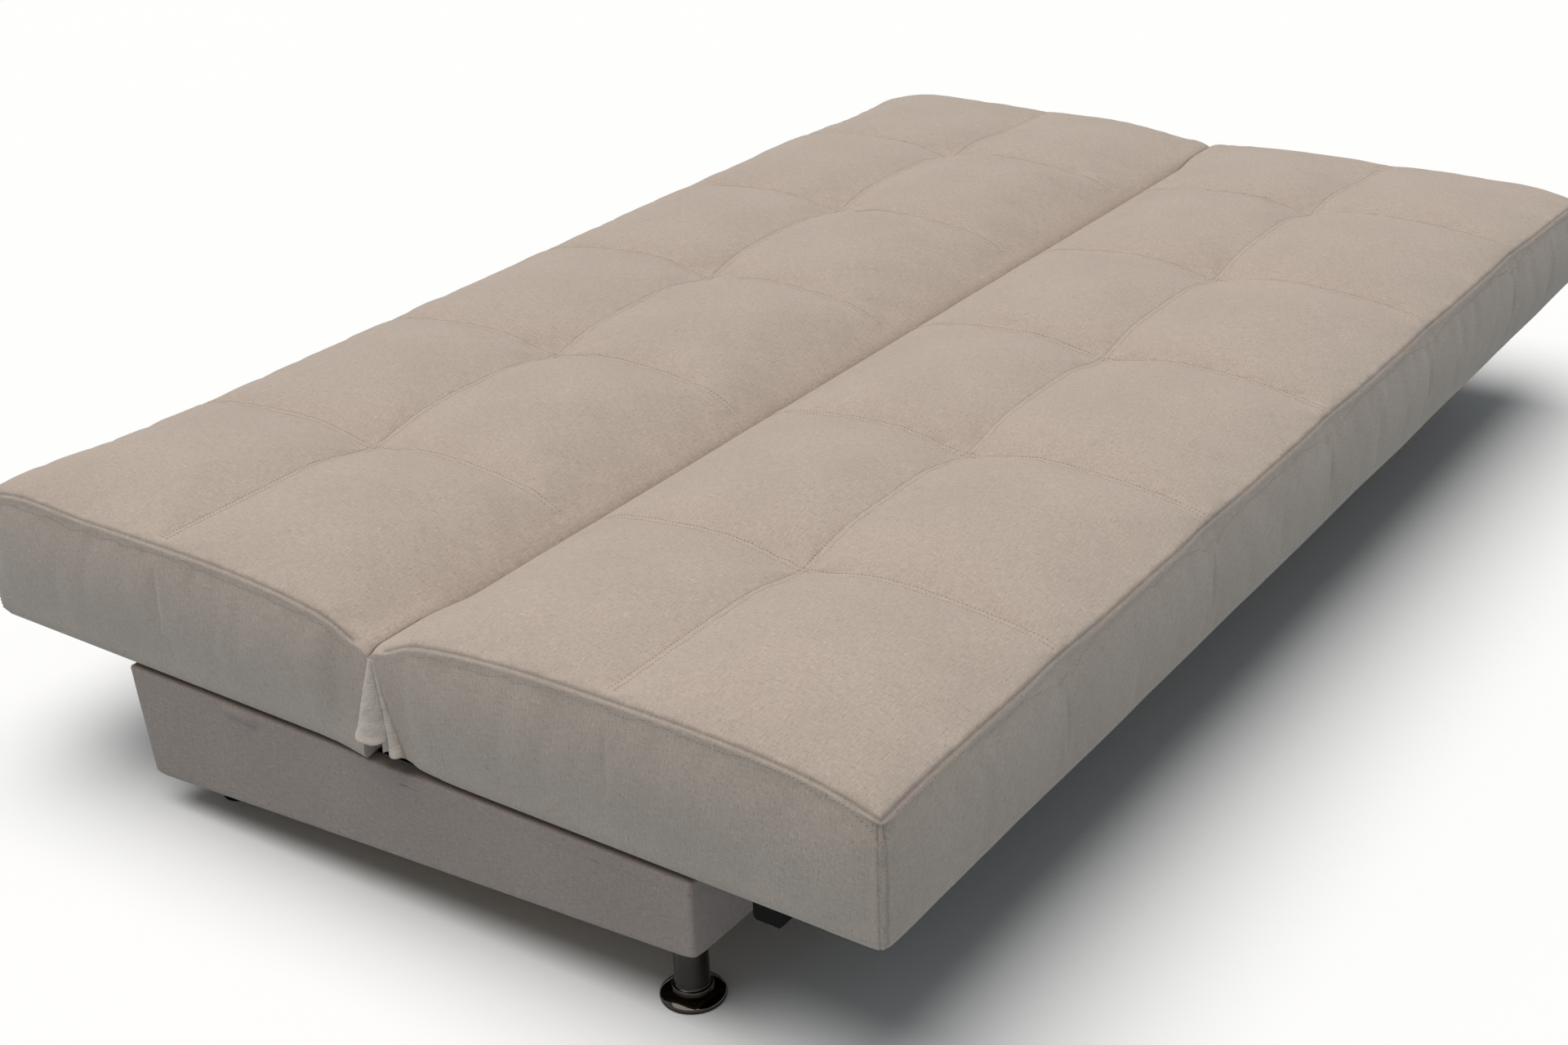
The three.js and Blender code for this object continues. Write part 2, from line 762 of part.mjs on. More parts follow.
// The long rails, the end and cross rails, and the bowed slats on top of them
function buildFrame(name, facing, railStation) {
  const outer = halfDepth - sideWall - seatGap;
  const seam = seamGap + sideWall + seatGap;
  const outerLow = outer - railThickness;
  const railSpan = (a, b) => sorted(facing * a, facing * b);
  const stationSpan = (side, near, far) => sorted(side * (bedHalf - near), side * (bedHalf - far));
  const innerStation = railStation + railThickness + seatGap;

  const [outerA, outerB] = railSpan(outerLow, outer);
  const outerOutline = easedRectangle(outerA, outerB, frameBottom, frameTop, railEdge);
  const outerHalf = bedHalf - innerStation;
  addPiece(`${name}_outer_rail`, alongX(outerOutline, -outerHalf, outerHalf), timber);

  const [seamA, seamB] = railSpan(seam, seam + railThickness);
  const seamOutline = easedRectangle(seamA, seamB, frameBottom, frameTop, railEdge);
  const seamHalf = bedHalf - crossRailStation;
  addPiece(`${name}_seam_rail`, alongX(seamOutline, -seamHalf, seamHalf), timber);

  for (const [label, side] of ends) {
    const [endLow, endHigh] = stationSpan(side, railStation, railStation + railThickness);
    const [endA, endB] = railSpan(endRailStop, outer);
    const endRail = boardAlongY(endLow, endHigh, frameBottom, frameTop, endA, endB, railEdge);
    addPiece(`${name}_end_rail_${label}`, endRail, timber);

    const crossFar = crossRailStation + railThickness;
    const [crossLow, crossHigh] = stationSpan(side, crossRailStation, crossFar);
    const [crossA, crossB] = railSpan(seam + railThickness + seatGap, outerLow - seatGap);
    const top = frameBottom + crossRailHeight;
    const crossRail = boardAlongY(crossLow, crossHigh, frameBottom, top, crossA, crossB, railEdge);
    addPiece(`${name}_cross_rail_${label}`, crossRail, timber);
  }

  for (let i = 0; i < slatCount; i += 1) {
    const middle = ((i + 1) / (slatCount + 1)) * bedLength - bedHalf;
    const slat = alongX(slatOutline(facing), middle - slatWidth / 2, middle + slatWidth / 2);
    addPiece(`${name}_slat_${i + 1}`, slat, timber);
  }
}

// Dust cloth under a frame, notched at the two hinge bays
function underCloth(facing) {
  const outer = halfDepth - sideWall - seatGap;
  const seam = seamGap + sideWall + seatGap;
  const half = bedHalf - sideWall - seatGap;
  const bayHalf = bedHalf - bayEndStation;
  const outline = [
    [-half, outer],
    [-half, bayReach],
    [-bayHalf, bayReach],
    [-bayHalf, seam],
    [bayHalf, seam],
    [bayHalf, bayReach],
    [half, bayReach],
    [half, outer],
  ].map(([x, distance]) => [x, facing * distance]);
  const options = { depth: clothThickness, bevelEnabled: false };
  const cloth = new THREE.ExtrudeGeometry(shapeOf(outline), options);
  cloth.translate(0, 0, halfUnderside + clothRecess);
  return cloth;
}

// Black blocks under the seat's front, which hang inside the box when the seat is pushed back
function buildStopBlocks() {
  const top = halfUnderside + clothRecess - seatGap;
  const outline = easedRectangle(
    -stopBlockPlace - stopBlockLength,
    -stopBlockPlace,
    top - stopBlockHeight,
    top,
    stopBlockEdge,
  );
  for (const [label, side] of ends) {
    const block = atStations(side, outline, stopBlockStation, stopBlockStation + stopBlockWidth);
    addPiece(`seat_stop_block_${label}`, block, blackPlastic);
  }
}

// Upholstery

// Height of a half's top at x and at a distance from the seam between the halves
function topHeight(x, distance) {
  const share = Math.max(0, (distance - valleyHalf) / (halfDepth - valleyHalf));
  const arch = 1 - Math.abs(2 * share - 1) ** archPower;
  const endShare = Math.min(1, (bedHalf - Math.abs(x)) / (sectionLength / 2));
  const endFade = Math.sin((endShare * Math.PI) / 2);
  const acrossFade = Math.sqrt(Math.sin(Math.PI * share));
  const valley = valleyDepth * Math.max(0, (valleyHalf - distance) / (valleyHalf - seamGap));
  let sunk = channelDepth * endFade * Math.exp(-(((distance - tuftLine) / channelHalfWidth) ** 2));
  for (let i = 1; i < sectionCount; i += 1) {
    const fromRow = x - (-bedHalf + i * sectionLength);
    const row = channelDepth * acrossFade * Math.exp(-((fromRow / channelHalfWidth) ** 2));
    const away = fromRow ** 2 + (distance - tuftLine) ** 2;
    const tuft = tuftDepth * Math.exp(-away / tuftRadius ** 2);
    sunk = Math.max(sunk, row) + tuft;
  }
  return edgeSeamHeight + archRise * arch + puffHeight * acrossFade * endFade - valley - sunk;
}

// How far the side is drawn in beside a row of tufts
function drawnIn(x) {
  let pull = 0;
  for (let i = 1; i < sectionCount; i += 1) {
    const fromRow = x - (-bedHalf + i * sectionLength);
    pull += drawnInSide * Math.exp(-((fromRow / tuftRadius) ** 2));
  }
  return pull;
}

// Places of the cover's lines along the bed, and their distances from the seam
function surfaceLines() {
  const xs = [];
  for (let i = 0; i < sectionCount; i += 1) {
    for (const share of alongShares) xs.push(-bedHalf + (i + share) * sectionLength);
  }
  xs.push(bedHalf);
  const rising = acrossShares.map((share) => valleyHalf + share * (tuftLine - valleyHalf));
  const falling = acrossShares.map((share) => halfDepth - share * (halfDepth - tuftLine));
  return [xs, [seamGap, ...rising, ...falling.reverse().slice(1)]];
}

// One level of the cover: points drawn in by an inset from the outer faces
function levelPoint(x, distance, z, inset) {
  const middle = (seamGap + halfDepth) / 2;
  const halfSpan = (halfDepth - seamGap) / 2;
  const outward = (distance - middle) / halfSpan;
  const along = x / bedHalf;
  const atCorner = Math.abs(along) > rimShare && Math.abs(outward) > rimShare ? cornerPull : 0;
  const atOuterSide = outward > rimShare ? drawnIn(x) : 0;
  const pullX = Math.sign(x) * Math.abs(along) ** insetPower;
  const pullY = Math.sign(outward) * Math.abs(outward) ** insetPower;
  return [
    x - pullX * (inset + atCorner),
    distance - pullY * (inset + atCorner + atOuterSide),
    z,
  ];
}

function cushionBody(facing) {
  const [xs, distances] = surfaceLines();
  const columns = xs.length;
  const rows = distances.length;
  const points = [];
  for (const distance of distances) {
    for (const x of xs) points.push(levelPoint(x, distance, topHeight(x, distance), seamInset));
  }
  const faces = [];
  for (let j = 0; j + 1 < rows; j += 1) {
    for (let i = 0; i + 1 < columns; i += 1) {
      const a = j * columns + i;
      faces.push([a, a + 1, a + columns + 1], [a, a + columns + 1, a + columns]);
    }
  }
  // The rim of the top, in order round the half
  const rim = [];
  for (let i = 0; i < columns; i += 1) rim.push([i, 0]);
  for (let j = 1; j < rows; j += 1) rim.push([columns - 1, j]);
  for (let i = columns - 2; i >= 0; i -= 1) rim.push([i, rows - 1]);
  for (let j = rows - 2; j > 0; j -= 1) rim.push([0, j]);
  let above = rim.map(([i, j]) => j * columns + i);
  const levels = [
    ...sideHeightShares.map((share) => [(top) => halfUnderside + share * (top - halfUnderside), 0]),
    [() => halfUnderside + sideFootRise, 0],
    [() => halfUnderside, sideFootInset],
  ];
  for (const [heightOf, inset] of levels) {
    const ring = rim.map(([i, j]) => {
      const top = topHeight(xs[i], distances[j]);
      points.push(levelPoint(xs[i], distances[j], heightOf(top), inset));
      return points.length - 1;
    });
    for (let k = 0; k < ring.length; k += 1) {
      const next = (k + 1) % ring.length;
      faces.push([above[k], ring[k], ring[next]], [above[k], ring[next], above[next]]);
    }
    above = ring;
  }
  const centre = points.push([0, tuftLine, halfUnderside]) - 1;
  for (let k = 0; k < above.length; k += 1) faces.push([above[k], centre, above[(k + 1) % above.length]]);

  const position = points.flatMap(([x, distance, z]) => [x, facing * distance, z]);
  const index = faces.flatMap(([a, b, c]) => (facing > 0 ? [a, b, c] : [a, c, b]));
  const geometry = new THREE.BufferGeometry();
  geometry.setAttribute('position', new THREE.Float32BufferAttribute(position, 3));
  geometry.setIndex(index);
  return geometry;
}

// Room for the hinge inside both halves, in Y-Z
function bayOutline() {
  const low = halfUnderside - cutOverrun;
  const lobeHeight = hingeHeight + bayLobeRise;
  const side = [[bayReach, low], [bayReach, bayShoulder], [bayLobeRadius, lobeHeight]];
  const over = circlePoints(hingeLine, bayEyeRadius).filter(([, z]) => z > lobeHeight);
  const left = [...side].reverse().map(([y, z]) => [-y, z]);
  return [...side, ...over, ...left];
}

function notchWidthAt(z) {
  const share = (hingeHeight - z) / (hingeHeight - halfUnderside);
  return seamGap + (notchHalfWidth - seamGap) * share;
}

function notchOutline() {
  const low = halfUnderside - cutOverrun;
  const wide = notchWidthAt(low);
  return [[-wide, low], [wide, low], [seamGap, hingeHeight], [-seamGap, hingeHeight]];
}

function halfCushion(facing) {
  const half = bedHalf - sideWall;
  const [pocketA, pocketB] = sorted(facing * (seamGap + sideWall), facing * (halfDepth - sideWall));
  const pocket = easedRectangle(pocketA, pocketB, halfUnderside - cutOverrun, pocketTop, railEdge);
  const cutters = [alongX(pocket, -half, half)];
  for (const [, side] of ends) {
    cutters.push(atStations(side, bayOutline(), sideWall - runningGap, bayEndStation));
    cutters.push(atStations(side, notchOutline(), -cutOverrun, sideWall));
  }
  return cutBy(cushionBody(facing), cutters);
}

// Pleated gusset that closes the notch at one end of the seam between the halves
function gusset(side) {
  const top = hingeHeight - gussetRise;
  const low = halfUnderside + gussetRise;
  const points = [];
  const faces = [];
  const wide = gussetColumns + 1;
  for (const layer of [0, 1]) {
    for (let j = 0; j <= gussetRows; j += 1) {
      const share = j / gussetRows;
      const z = top + (low - top) * share;
      const half = notchWidthAt(z) - seatGap;
      for (let i = 0; i <= gussetColumns; i += 1) {
        const across = (2 * i) / gussetColumns - 1;
        const wave = Math.cos(across * Math.PI * gussetFoldCount);
        const station = gussetStation - gussetFold * share * wave + layer * gussetThickness;
        points.push([side * (bedHalf - station), across * half, z]);
      }
    }
  }
  const layerSize = wide * (gussetRows + 1);
  const quad = (a, b, c, d) => faces.push([a, b, c], [a, c, d]);
  for (let j = 0; j < gussetRows; j += 1) {
    for (let i = 0; i < gussetColumns; i += 1) {
      const a = j * wide + i;
      quad(a, a + wide, a + wide + 1, a + 1);
      quad(layerSize + a, layerSize + a + 1, layerSize + a + wide + 1, layerSize + a + wide);
    }
    for (const [edge, flip] of [[j * wide, false], [j * wide + gussetColumns, true]]) {
      const below = edge + wide;
      if (flip) quad(edge, below, layerSize + below, layerSize + edge);
      else quad(edge, layerSize + edge, layerSize + below, below);
    }
  }
  for (let i = 0; i < gussetColumns; i += 1) {
    quad(i, i + 1, layerSize + i + 1, layerSize + i);
    const b = gussetRows * wide + i;
    quad(b, layerSize + b, layerSize + b + 1, b + 1);
  }
  const geometry = new THREE.BufferGeometry();
  geometry.setAttribute('position', new THREE.Float32BufferAttribute(points.flat(), 3));
  geometry.setIndex(faces.flatMap(([a, b, c]) => (side > 0 ? [a, b, c] : [a, c, b])));
  return geometry;
}

function buildUpholstery() {
  for (const [name, facing] of [['seat', -1], ['back', 1]]) {
    addPiece(`${name}_cushion`, halfCushion(facing), fabricTop);
    addPiece(`${name}_under_cloth`, underCloth(facing), clothUnder);
  }
  for (const [label, side] of ends) addPiece(`hinge_gusset_${label}`, gusset(side), fabricTop);
}

buildBox();
buildRestPads();
buildFeet();
buildMechanism();
buildFrame('seat', -1, seatRailStation);
buildFrame('back', 1, backRailStation);
buildStopBlocks();
buildUpholstery();

export default sofaBed;
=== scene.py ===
# %% [markdown]
# # A book-type sofa bed, opened flat
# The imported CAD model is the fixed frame: its boards, rails, arms and links stay where they are.
# Here the frame is dressed: the two upholstered halves, the fabric-wrapped box, the pleated gussets,
# the turned feet, the sewing thread and the small fasteners. All sizes are in metres.

import math

import bpy
import numpy as np
from mathutils import Matrix, Vector, noise
from mathutils.bvhtree import BVHTree


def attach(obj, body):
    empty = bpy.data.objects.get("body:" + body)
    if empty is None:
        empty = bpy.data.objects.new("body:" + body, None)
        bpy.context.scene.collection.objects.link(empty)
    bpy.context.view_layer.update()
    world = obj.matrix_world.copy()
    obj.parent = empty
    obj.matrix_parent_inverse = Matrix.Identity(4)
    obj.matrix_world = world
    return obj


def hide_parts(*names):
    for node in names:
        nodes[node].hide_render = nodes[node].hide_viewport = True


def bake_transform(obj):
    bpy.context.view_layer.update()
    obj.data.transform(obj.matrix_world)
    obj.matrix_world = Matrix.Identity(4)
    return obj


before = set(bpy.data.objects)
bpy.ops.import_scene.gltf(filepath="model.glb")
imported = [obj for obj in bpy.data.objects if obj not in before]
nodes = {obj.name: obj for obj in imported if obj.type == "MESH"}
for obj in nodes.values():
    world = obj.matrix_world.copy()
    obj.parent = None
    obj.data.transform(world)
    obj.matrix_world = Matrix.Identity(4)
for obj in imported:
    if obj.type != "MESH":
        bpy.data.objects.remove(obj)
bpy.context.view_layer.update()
print("nodes in the frame:", len(nodes))

# %% [markdown]
# ## Sizes
# These are the sizes of the CAD part, now in metres. Distances across the bed are measured from the
# seam between the halves, and the back is a mirror image of the seat, apart from its far corners.

# %% Sizes of the bed
BED_HALF = 0.970
HALF_DEPTH = 0.600
UNDERSIDE = 0.180
EDGE_SEAM = 0.324
ARCH_RISE = 0.024
SEAM_GAP = 0.0008
HINGE_HEIGHT = 0.290
SECTIONS = 6
SECTION = 2 * BED_HALF / SECTIONS
TUFT_LINE = HALF_DEPTH / 2
TUFT_ROWS = [-BED_HALF + i * SECTION for i in range(1, SECTIONS)]
NEEDLE_GAP = 0.0035
SEAM_BAND = 0.0034
CORNER_BAND = 0.0045
ENDS = (("left", -1), ("right", 1))
HALVES = (("seat", -1), ("back", 1))
print("tuft rows at", [round(x, 3) for x in TUFT_ROWS])

# %% [markdown]
# ## Helpers for modelling
# An operator works on everything that is selected, so each step first clears the selection. Faces and
# edges are then chosen by their place, as one would click on them.

# %% Selection helpers
def deselect():
    if bpy.context.object and bpy.context.object.mode != "OBJECT":
        bpy.ops.object.mode_set(mode="OBJECT")
    bpy.ops.object.select_all(action="DESELECT")


def activate(piece):
    deselect()
    piece.select_set(True)
    bpy.context.view_layer.objects.active = piece


def take_new(name):
    piece = bpy.context.object
    piece.name = name
    piece.data.name = name
    return piece


def edit(piece, kind="VERT"):
    activate(piece)
    bpy.ops.object.mode_set(mode="EDIT")
    bpy.ops.mesh.select_mode(type=kind)
    bpy.ops.mesh.select_all(action="DESELECT")


def done():
    bpy.ops.object.mode_set(mode="OBJECT")


def choose(piece, kind, test):
    """Selects the vertices whose place, or the faces whose middle and normal, pass the test."""
    edit(piece, kind)
    done()
    if kind == "VERT":
        for v in piece.data.vertices:
            v.select = bool(test(v.co))
    else:
        for f in piece.data.polygons:
            f.select = bool(test(f.center, f.normal))
    bpy.ops.object.mode_set(mode="EDIT")
    bpy.ops.mesh.select_mode(type=kind)


def fill_rim():
    """Closes the open rim of the piece that is being edited."""
    bpy.ops.mesh.select_all(action="DESELECT")
    bpy.ops.mesh.select_mode(type="EDGE")
    bpy.ops.mesh.select_non_manifold()
    bpy.ops.mesh.edge_face_add()


def face_outwards():
    """Turns every face of the piece that is being edited outwards, and ends the editing."""
    bpy.ops.mesh.select_all(action="SELECT")
    bpy.ops.mesh.normals_make_consistent(inside=False)
    done()


def settle(piece):
    """Puts the object's place into its mesh, so that the object sits at the origin."""
    activate(piece)
    bpy.ops.object.transform_apply(location=True, rotation=True, scale=True)


def apply_modifier(piece, modifier):
    activate(piece)
    bpy.ops.object.modifier_apply(modifier=modifier.name)


def thicken(piece, thickness):
    thick = piece.modifiers.new("thickness", "SOLIDIFY")
    thick.thickness = thickness
    thick.offset = 0
    apply_modifier(piece, thick)


def subdivide(piece):
    finer = piece.modifiers.new("finer", "SUBSURF")
    finer.levels = 1
    finer.render_levels = 1
    apply_modifier(piece, finer)


def smooth(piece, degrees=None):
    activate(piece)
    if degrees is None:
        bpy.ops.object.shade_smooth()
    else:
        bpy.ops.object.shade_smooth_by_angle(angle=math.radians(degrees))


def mirror(piece):
    """Moves a piece from one end of the bed to the other."""
    piece.data.transform(Matrix.Diagonal((-1, 1, 1, 1)))
    piece.data.flip_normals()


def mirrored_copy(piece, name):
    twin = piece.copy()
    twin.data = piece.data.copy()
    twin.name = name
    twin.data.name = name
    bpy.context.scene.collection.objects.link(twin)
    mirror(twin)
    return twin


# %% Points and grids
def read_vectors(items, key):
    values = np.empty(len(items) * 3, np.float32)
    items.foreach_get(key, values)
    return values.reshape(-1, 3).astype(float)


def points_of(piece):
    return read_vectors(piece.data.vertices, "co")


def set_points(piece, points):
    piece.data.vertices.foreach_set("co", np.asarray(points, np.float32).ravel())
    piece.data.update()


def new_grid(name, wide, deep):
    """A grid, with the column and the line of each of its points."""
    deselect()
    bpy.ops.mesh.primitive_grid_add(x_subdivisions=wide, y_subdivisions=deep, size=1)
    piece = take_new(name)
    grid = points_of(piece)
    column = np.rint((grid[:, 0] + 0.5) * wide).astype(int)
    line = np.rint((grid[:, 1] + 0.5) * deep).astype(int)
    return piece, column, line


def write_flat(piece, places):
    """Writes each point's place on the flat cloth, in metres, as the piece's own map."""
    layer = piece.data.uv_layers.new(name="flat")
    for loop in piece.data.loops:
        layer.data[loop.index].uv = places[loop.vertex_index]


def smoothstep(t):
    t = np.clip(t, 0, 1)
    return t * t * (3 - 2 * t)


def wave_noise(points, scale, seed=0.0):
    """Smooth noise from -1 to 1 at each point, the same in each run."""
    shift = Vector((seed * 7.31, seed * 3.17, seed * 5.77))
    return np.array([noise.noise(Vector(p) * scale + shift) for p in points])


print("helpers ready")

# %% [markdown]
# ## Finishes
# Every finish is built from nodes. The cloth is a marl: warp and weft threads of slightly different
# beige, with fine dark and light flecks. Its pattern follows each piece's own flat map, which gives
# the place on the cloth in metres, so that a thread keeps its width round every corner.

# %% Node helpers
class Nodes:
    """A short way to add and link the nodes of a material or of the world."""

    def __init__(self, owner, last="Principled BSDF"):
        owner.use_nodes = True
        self.owner = owner
        self.tree = owner.node_tree
        self.shader = self.tree.nodes[last]

    def give(self, socket, value):
        if isinstance(value, bpy.types.NodeSocket):
            self.tree.links.new(value, socket)
        else:
            socket.default_value = value

    def add(self, kind, inputs=None, **settings):
        node = self.tree.nodes.new(kind)
        for key, value in settings.items():
            setattr(node, key, value)
        for key, value in (inputs or {}).items():
            self.give(node.inputs[key], value)
        return node

    def math(self, operation, a, b=0.0):
        return self.add("ShaderNodeMath", {0: a, 1: b}, operation=operation).outputs[0]

    def ramp(self, value, low, high):
        inputs = {"Value": value, "From Min": low, "From Max": high}
        return self.add("ShaderNodeMapRange", inputs).outputs["Result"]

    def spread(self, value, low, high):
        inputs = {"Value": value, "To Min": low, "To Max": high}
        return self.add("ShaderNodeMapRange", inputs).outputs["Result"]

    def mix(self, share, a, b):
        node = self.add("ShaderNodeMix", {0: share}, data_type="RGBA")
        colours = [socket for socket in node.inputs if socket.type == "RGBA"]
        self.give(colours[0], a)
        self.give(colours[1], b)
        return next(socket for socket in node.outputs if socket.type == "RGBA")

    def noise(self, vector, scale, detail=2.0, rough=0.5):
        inputs = {"Vector": vector, "Scale": scale, "Detail": detail, "Roughness": rough}
        return self.add("ShaderNodeTexNoise", inputs).outputs[0]

    def stretch(self, vector, scale):
        return self.add("ShaderNodeMapping", {"Vector": vector, "Scale": scale}).outputs[0]

    def grain(self, vector, scale, detail=2.0, rough=0.5):
        """Noise that is stretched by its own amount along each axis."""
        return self.noise(self.stretch(vector, scale), 1.0, detail, rough)

    def bump(self, height, strength, distance, normal=None):
        inputs = {"Height": height, "Strength": strength, "Distance": distance}
        if normal is not None:
            inputs["Normal"] = normal
        return self.add("ShaderNodeBump", inputs).outputs[0]

    def object_place(self):
        return self.add("ShaderNodeTexCoord").outputs["Object"]

    def flat_place(self):
        return self.add("ShaderNodeUVMap", uv_map="flat").outputs[0]

    def finish(self, values):
        """Sets or links the last shader's own sockets, and gives the material back."""
        for key, value in values.items():
            self.give(self.shader.inputs[key], value)
        return self.owner


def new_finish(name):
    return Nodes(bpy.data.materials.new(name))


def rgb(red, green, blue):
    """A colour as seen on a screen, turned into the linear values that shaders use."""
    parts = []
    for value in (red, green, blue):
        share = value / 255
        parts.append(share / 12.92 if share <= 0.04045 else ((share + 0.055) / 1.055) ** 2.4)
    return (*parts, 1.0)


# %% Marl cloth
THREAD = 0.0016
# Painted shade: the colour the cover takes in its needle grooves, seams and tuft dips.
PAINTED_GROOVE_SHADE = rgb(104, 92, 83)


def marl(name, light, middle, dark, painted_groove_shade=True):
    n = new_finish(name)
    flat = n.flat_place()
    turn = math.pi * 2 / THREAD
    split = n.add("ShaderNodeSeparateXYZ", {0: flat}).outputs
    along, across = (n.math("SINE", n.math("MULTIPLY", split[k], turn)) for k in (0, 1))
    crossing = n.math("MULTIPLY", along, across)
    warp = n.grain(flat, (1100, 70, 1), 2.0, 0.6)
    weft = n.grain(flat, (70, 1100, 1), 2.0, 0.6)
    over = n.ramp(crossing, -0.25, 0.25)
    thread = n.add("ShaderNodeMix", {0: over, 2: warp, 3: weft}, data_type="FLOAT").outputs[0]
    colour = n.mix(n.ramp(thread, 0.32, 0.68), dark, light)
    colour = n.mix(0.45, colour, middle)
    fleck = n.grain(flat, (230, 420, 1), 3.0, 0.7)
    colour = n.mix(n.ramp(fleck, 0.58, 0.72), colour, light)
    colour = n.mix(n.math("MULTIPLY", n.ramp(fleck, 0.43, 0.29), 0.8), colour, dark)
    cloud = n.ramp(n.grain(flat, (9, 9, 1)), 0.3, 0.7)
    colour = n.mix(n.math("MULTIPLY", cloud, 0.16), colour, dark)
    # Painted shade: darker along the needle grooves, the seams and round the tufts, where shade falls.
    if painted_groove_shade:
        line = n.add("ShaderNodeAttribute", attribute_name="painted_groove_shade").outputs["Fac"]
        colour = n.mix(n.math("MULTIPLY", line, 0.6), colour, PAINTED_GROOVE_SHADE)
    pile = n.math("ADD", n.math("MULTIPLY", crossing, 0.5), n.math("MULTIPLY", thread, 1.2))
    relief_of_threads = n.bump(fleck, 0.25, 0.0008, n.bump(pile, 0.35, 0.0004))
    return n.finish({
        "Base Color": colour, "Roughness": 0.88, "Specular IOR Level": 0.25,
        "Sheen Weight": 0.18, "Sheen Roughness": 0.55, "Normal": relief_of_threads,
    })


BEIGE = (rgb(212, 197, 183), rgb(192, 175, 162), rgb(150, 135, 123))
PALE_BEIGE = (rgb(226, 215, 204), rgb(208, 195, 183), rgb(160, 147, 136))
TAUPE = (rgb(186, 170, 161), rgb(166, 149, 141), rgb(129, 115, 108))
COVER_CLOTH = marl("cover_marl", *BEIGE)
GUSSET_CLOTH = marl("gusset_marl", *PALE_BEIGE, painted_groove_shade=False)
BOX_CLOTH = marl("box_marl", *TAUPE, painted_groove_shade=False)
print("cloth finishes:", COVER_CLOTH.name, GUSSET_CLOTH.name, BOX_CLOTH.name)

# %% [markdown]
# ### Wood and board
# Softwood rails show long growth lines with a few darker bands. The slats are bent plywood, paler and
# finer. The bottom of the box is pressed board: brown and evenly fibrous. Each grain runs along the
# piece, so the same recipe is stretched along X or along Y.

# %% Wood
LINES_ALONG = {"X": (0.6, 7, 7), "Y": (7, 0.6, 7)}
PORES_ALONG = {"X": (12, 900, 900), "Y": (900, 12, 900)}


def wood(name, pale, dark, along="X", rings=6.0, gloss=0.62):
    n = new_finish(name)
    place = n.object_place()
    grain_place = n.stretch(place, LINES_ALONG[along])
    bend = n.noise(grain_place, 1.4, 3.0)
    wander = n.add("ShaderNodeVectorMath", {0: grain_place, 1: bend}, operation="ADD").outputs[0]
    lines = n.ramp(n.noise(wander, rings, 4.0, 0.62), 0.36, 0.66)
    pores = n.grain(place, PORES_ALONG[along], 2.0, 0.6)
    colour = n.mix(lines, pale, dark)
    colour = n.mix(n.math("MULTIPLY", n.ramp(pores, 0.52, 0.75), 0.35), colour, dark)
    return n.finish({"Base Color": colour, "Roughness": gloss, "Normal": n.bump(pores, 0.15, 0.0004)})


SOFTWOOD_X = wood("softwood_along_bed", rgb(214, 184, 138), rgb(178, 138, 92))
SOFTWOOD_Y = wood("softwood_across_bed", rgb(212, 182, 136), rgb(176, 136, 90), along="Y")
PLYWOOD = wood("bent_plywood", rgb(224, 200, 158), rgb(198, 166, 120), along="Y", rings=3.5, gloss=0.5)


def pressed_board(name, pale, dark):
    n = new_finish(name)
    place = n.object_place()
    chips = n.grain(place, (140, 90, 140), 4.0, 0.75)
    cloud = n.noise(place, 5.0)
    colour = n.mix(n.ramp(chips, 0.35, 0.68), pale, dark)
    colour = n.mix(n.math("MULTIPLY", cloud, 0.3), colour, dark)
    return n.finish({"Base Color": colour, "Roughness": 0.7, "Normal": n.bump(chips, 0.2, 0.0006)})


HARDBOARD = pressed_board("pressed_hardboard", rgb(160, 124, 84), rgb(118, 88, 58))
RAW_BOARD = pressed_board("raw_panel_board", rgb(196, 170, 130), rgb(160, 130, 92))
print("wood finishes:", SOFTWOOD_X.name, SOFTWOOD_Y.name, PLYWOOD.name, HARDBOARD.name, RAW_BOARD.name)

# %% [markdown]
# ### Metal, plastic and rubber
# The links and arms have a black powder coat with its fine orange-peel texture. Plates and brackets
# are zinc plated, with a crystalline, slightly cloudy surface. The front feet are polished chrome whose
# colour is darkened as a painted dark reflection, as if they mirrored a dark room, and the glides and
# stop blocks are moulded black plastic.

# %% Metal and plastic
def hard(name, colour, second, rough, grain, bump, metallic=1.0, gloss=0.5):
    """A metal, or a plastic where metallic is 0: cloudy in colour and gloss, with a fine peel."""
    n = new_finish(name)
    place = n.object_place()
    cloud = n.noise(place, grain, 4.0, 0.6)
    peel = n.noise(place, grain * 9)
    return n.finish({
        "Base Color": n.mix(n.ramp(cloud, 0.3, 0.7), colour, second), "Metallic": metallic,
        "Roughness": n.spread(cloud, rough * 0.8, rough * 1.25), "Specular IOR Level": gloss,
        "Normal": n.bump(peel, bump, 0.0003),
    })


ZINC = hard("zinc_plate", rgb(178, 180, 178), rgb(150, 154, 158), 0.36, 90.0, 0.08)
STAPLE_STEEL = hard("staple_steel", rgb(196, 198, 200), rgb(170, 172, 176), 0.3, 60.0, 0.02)
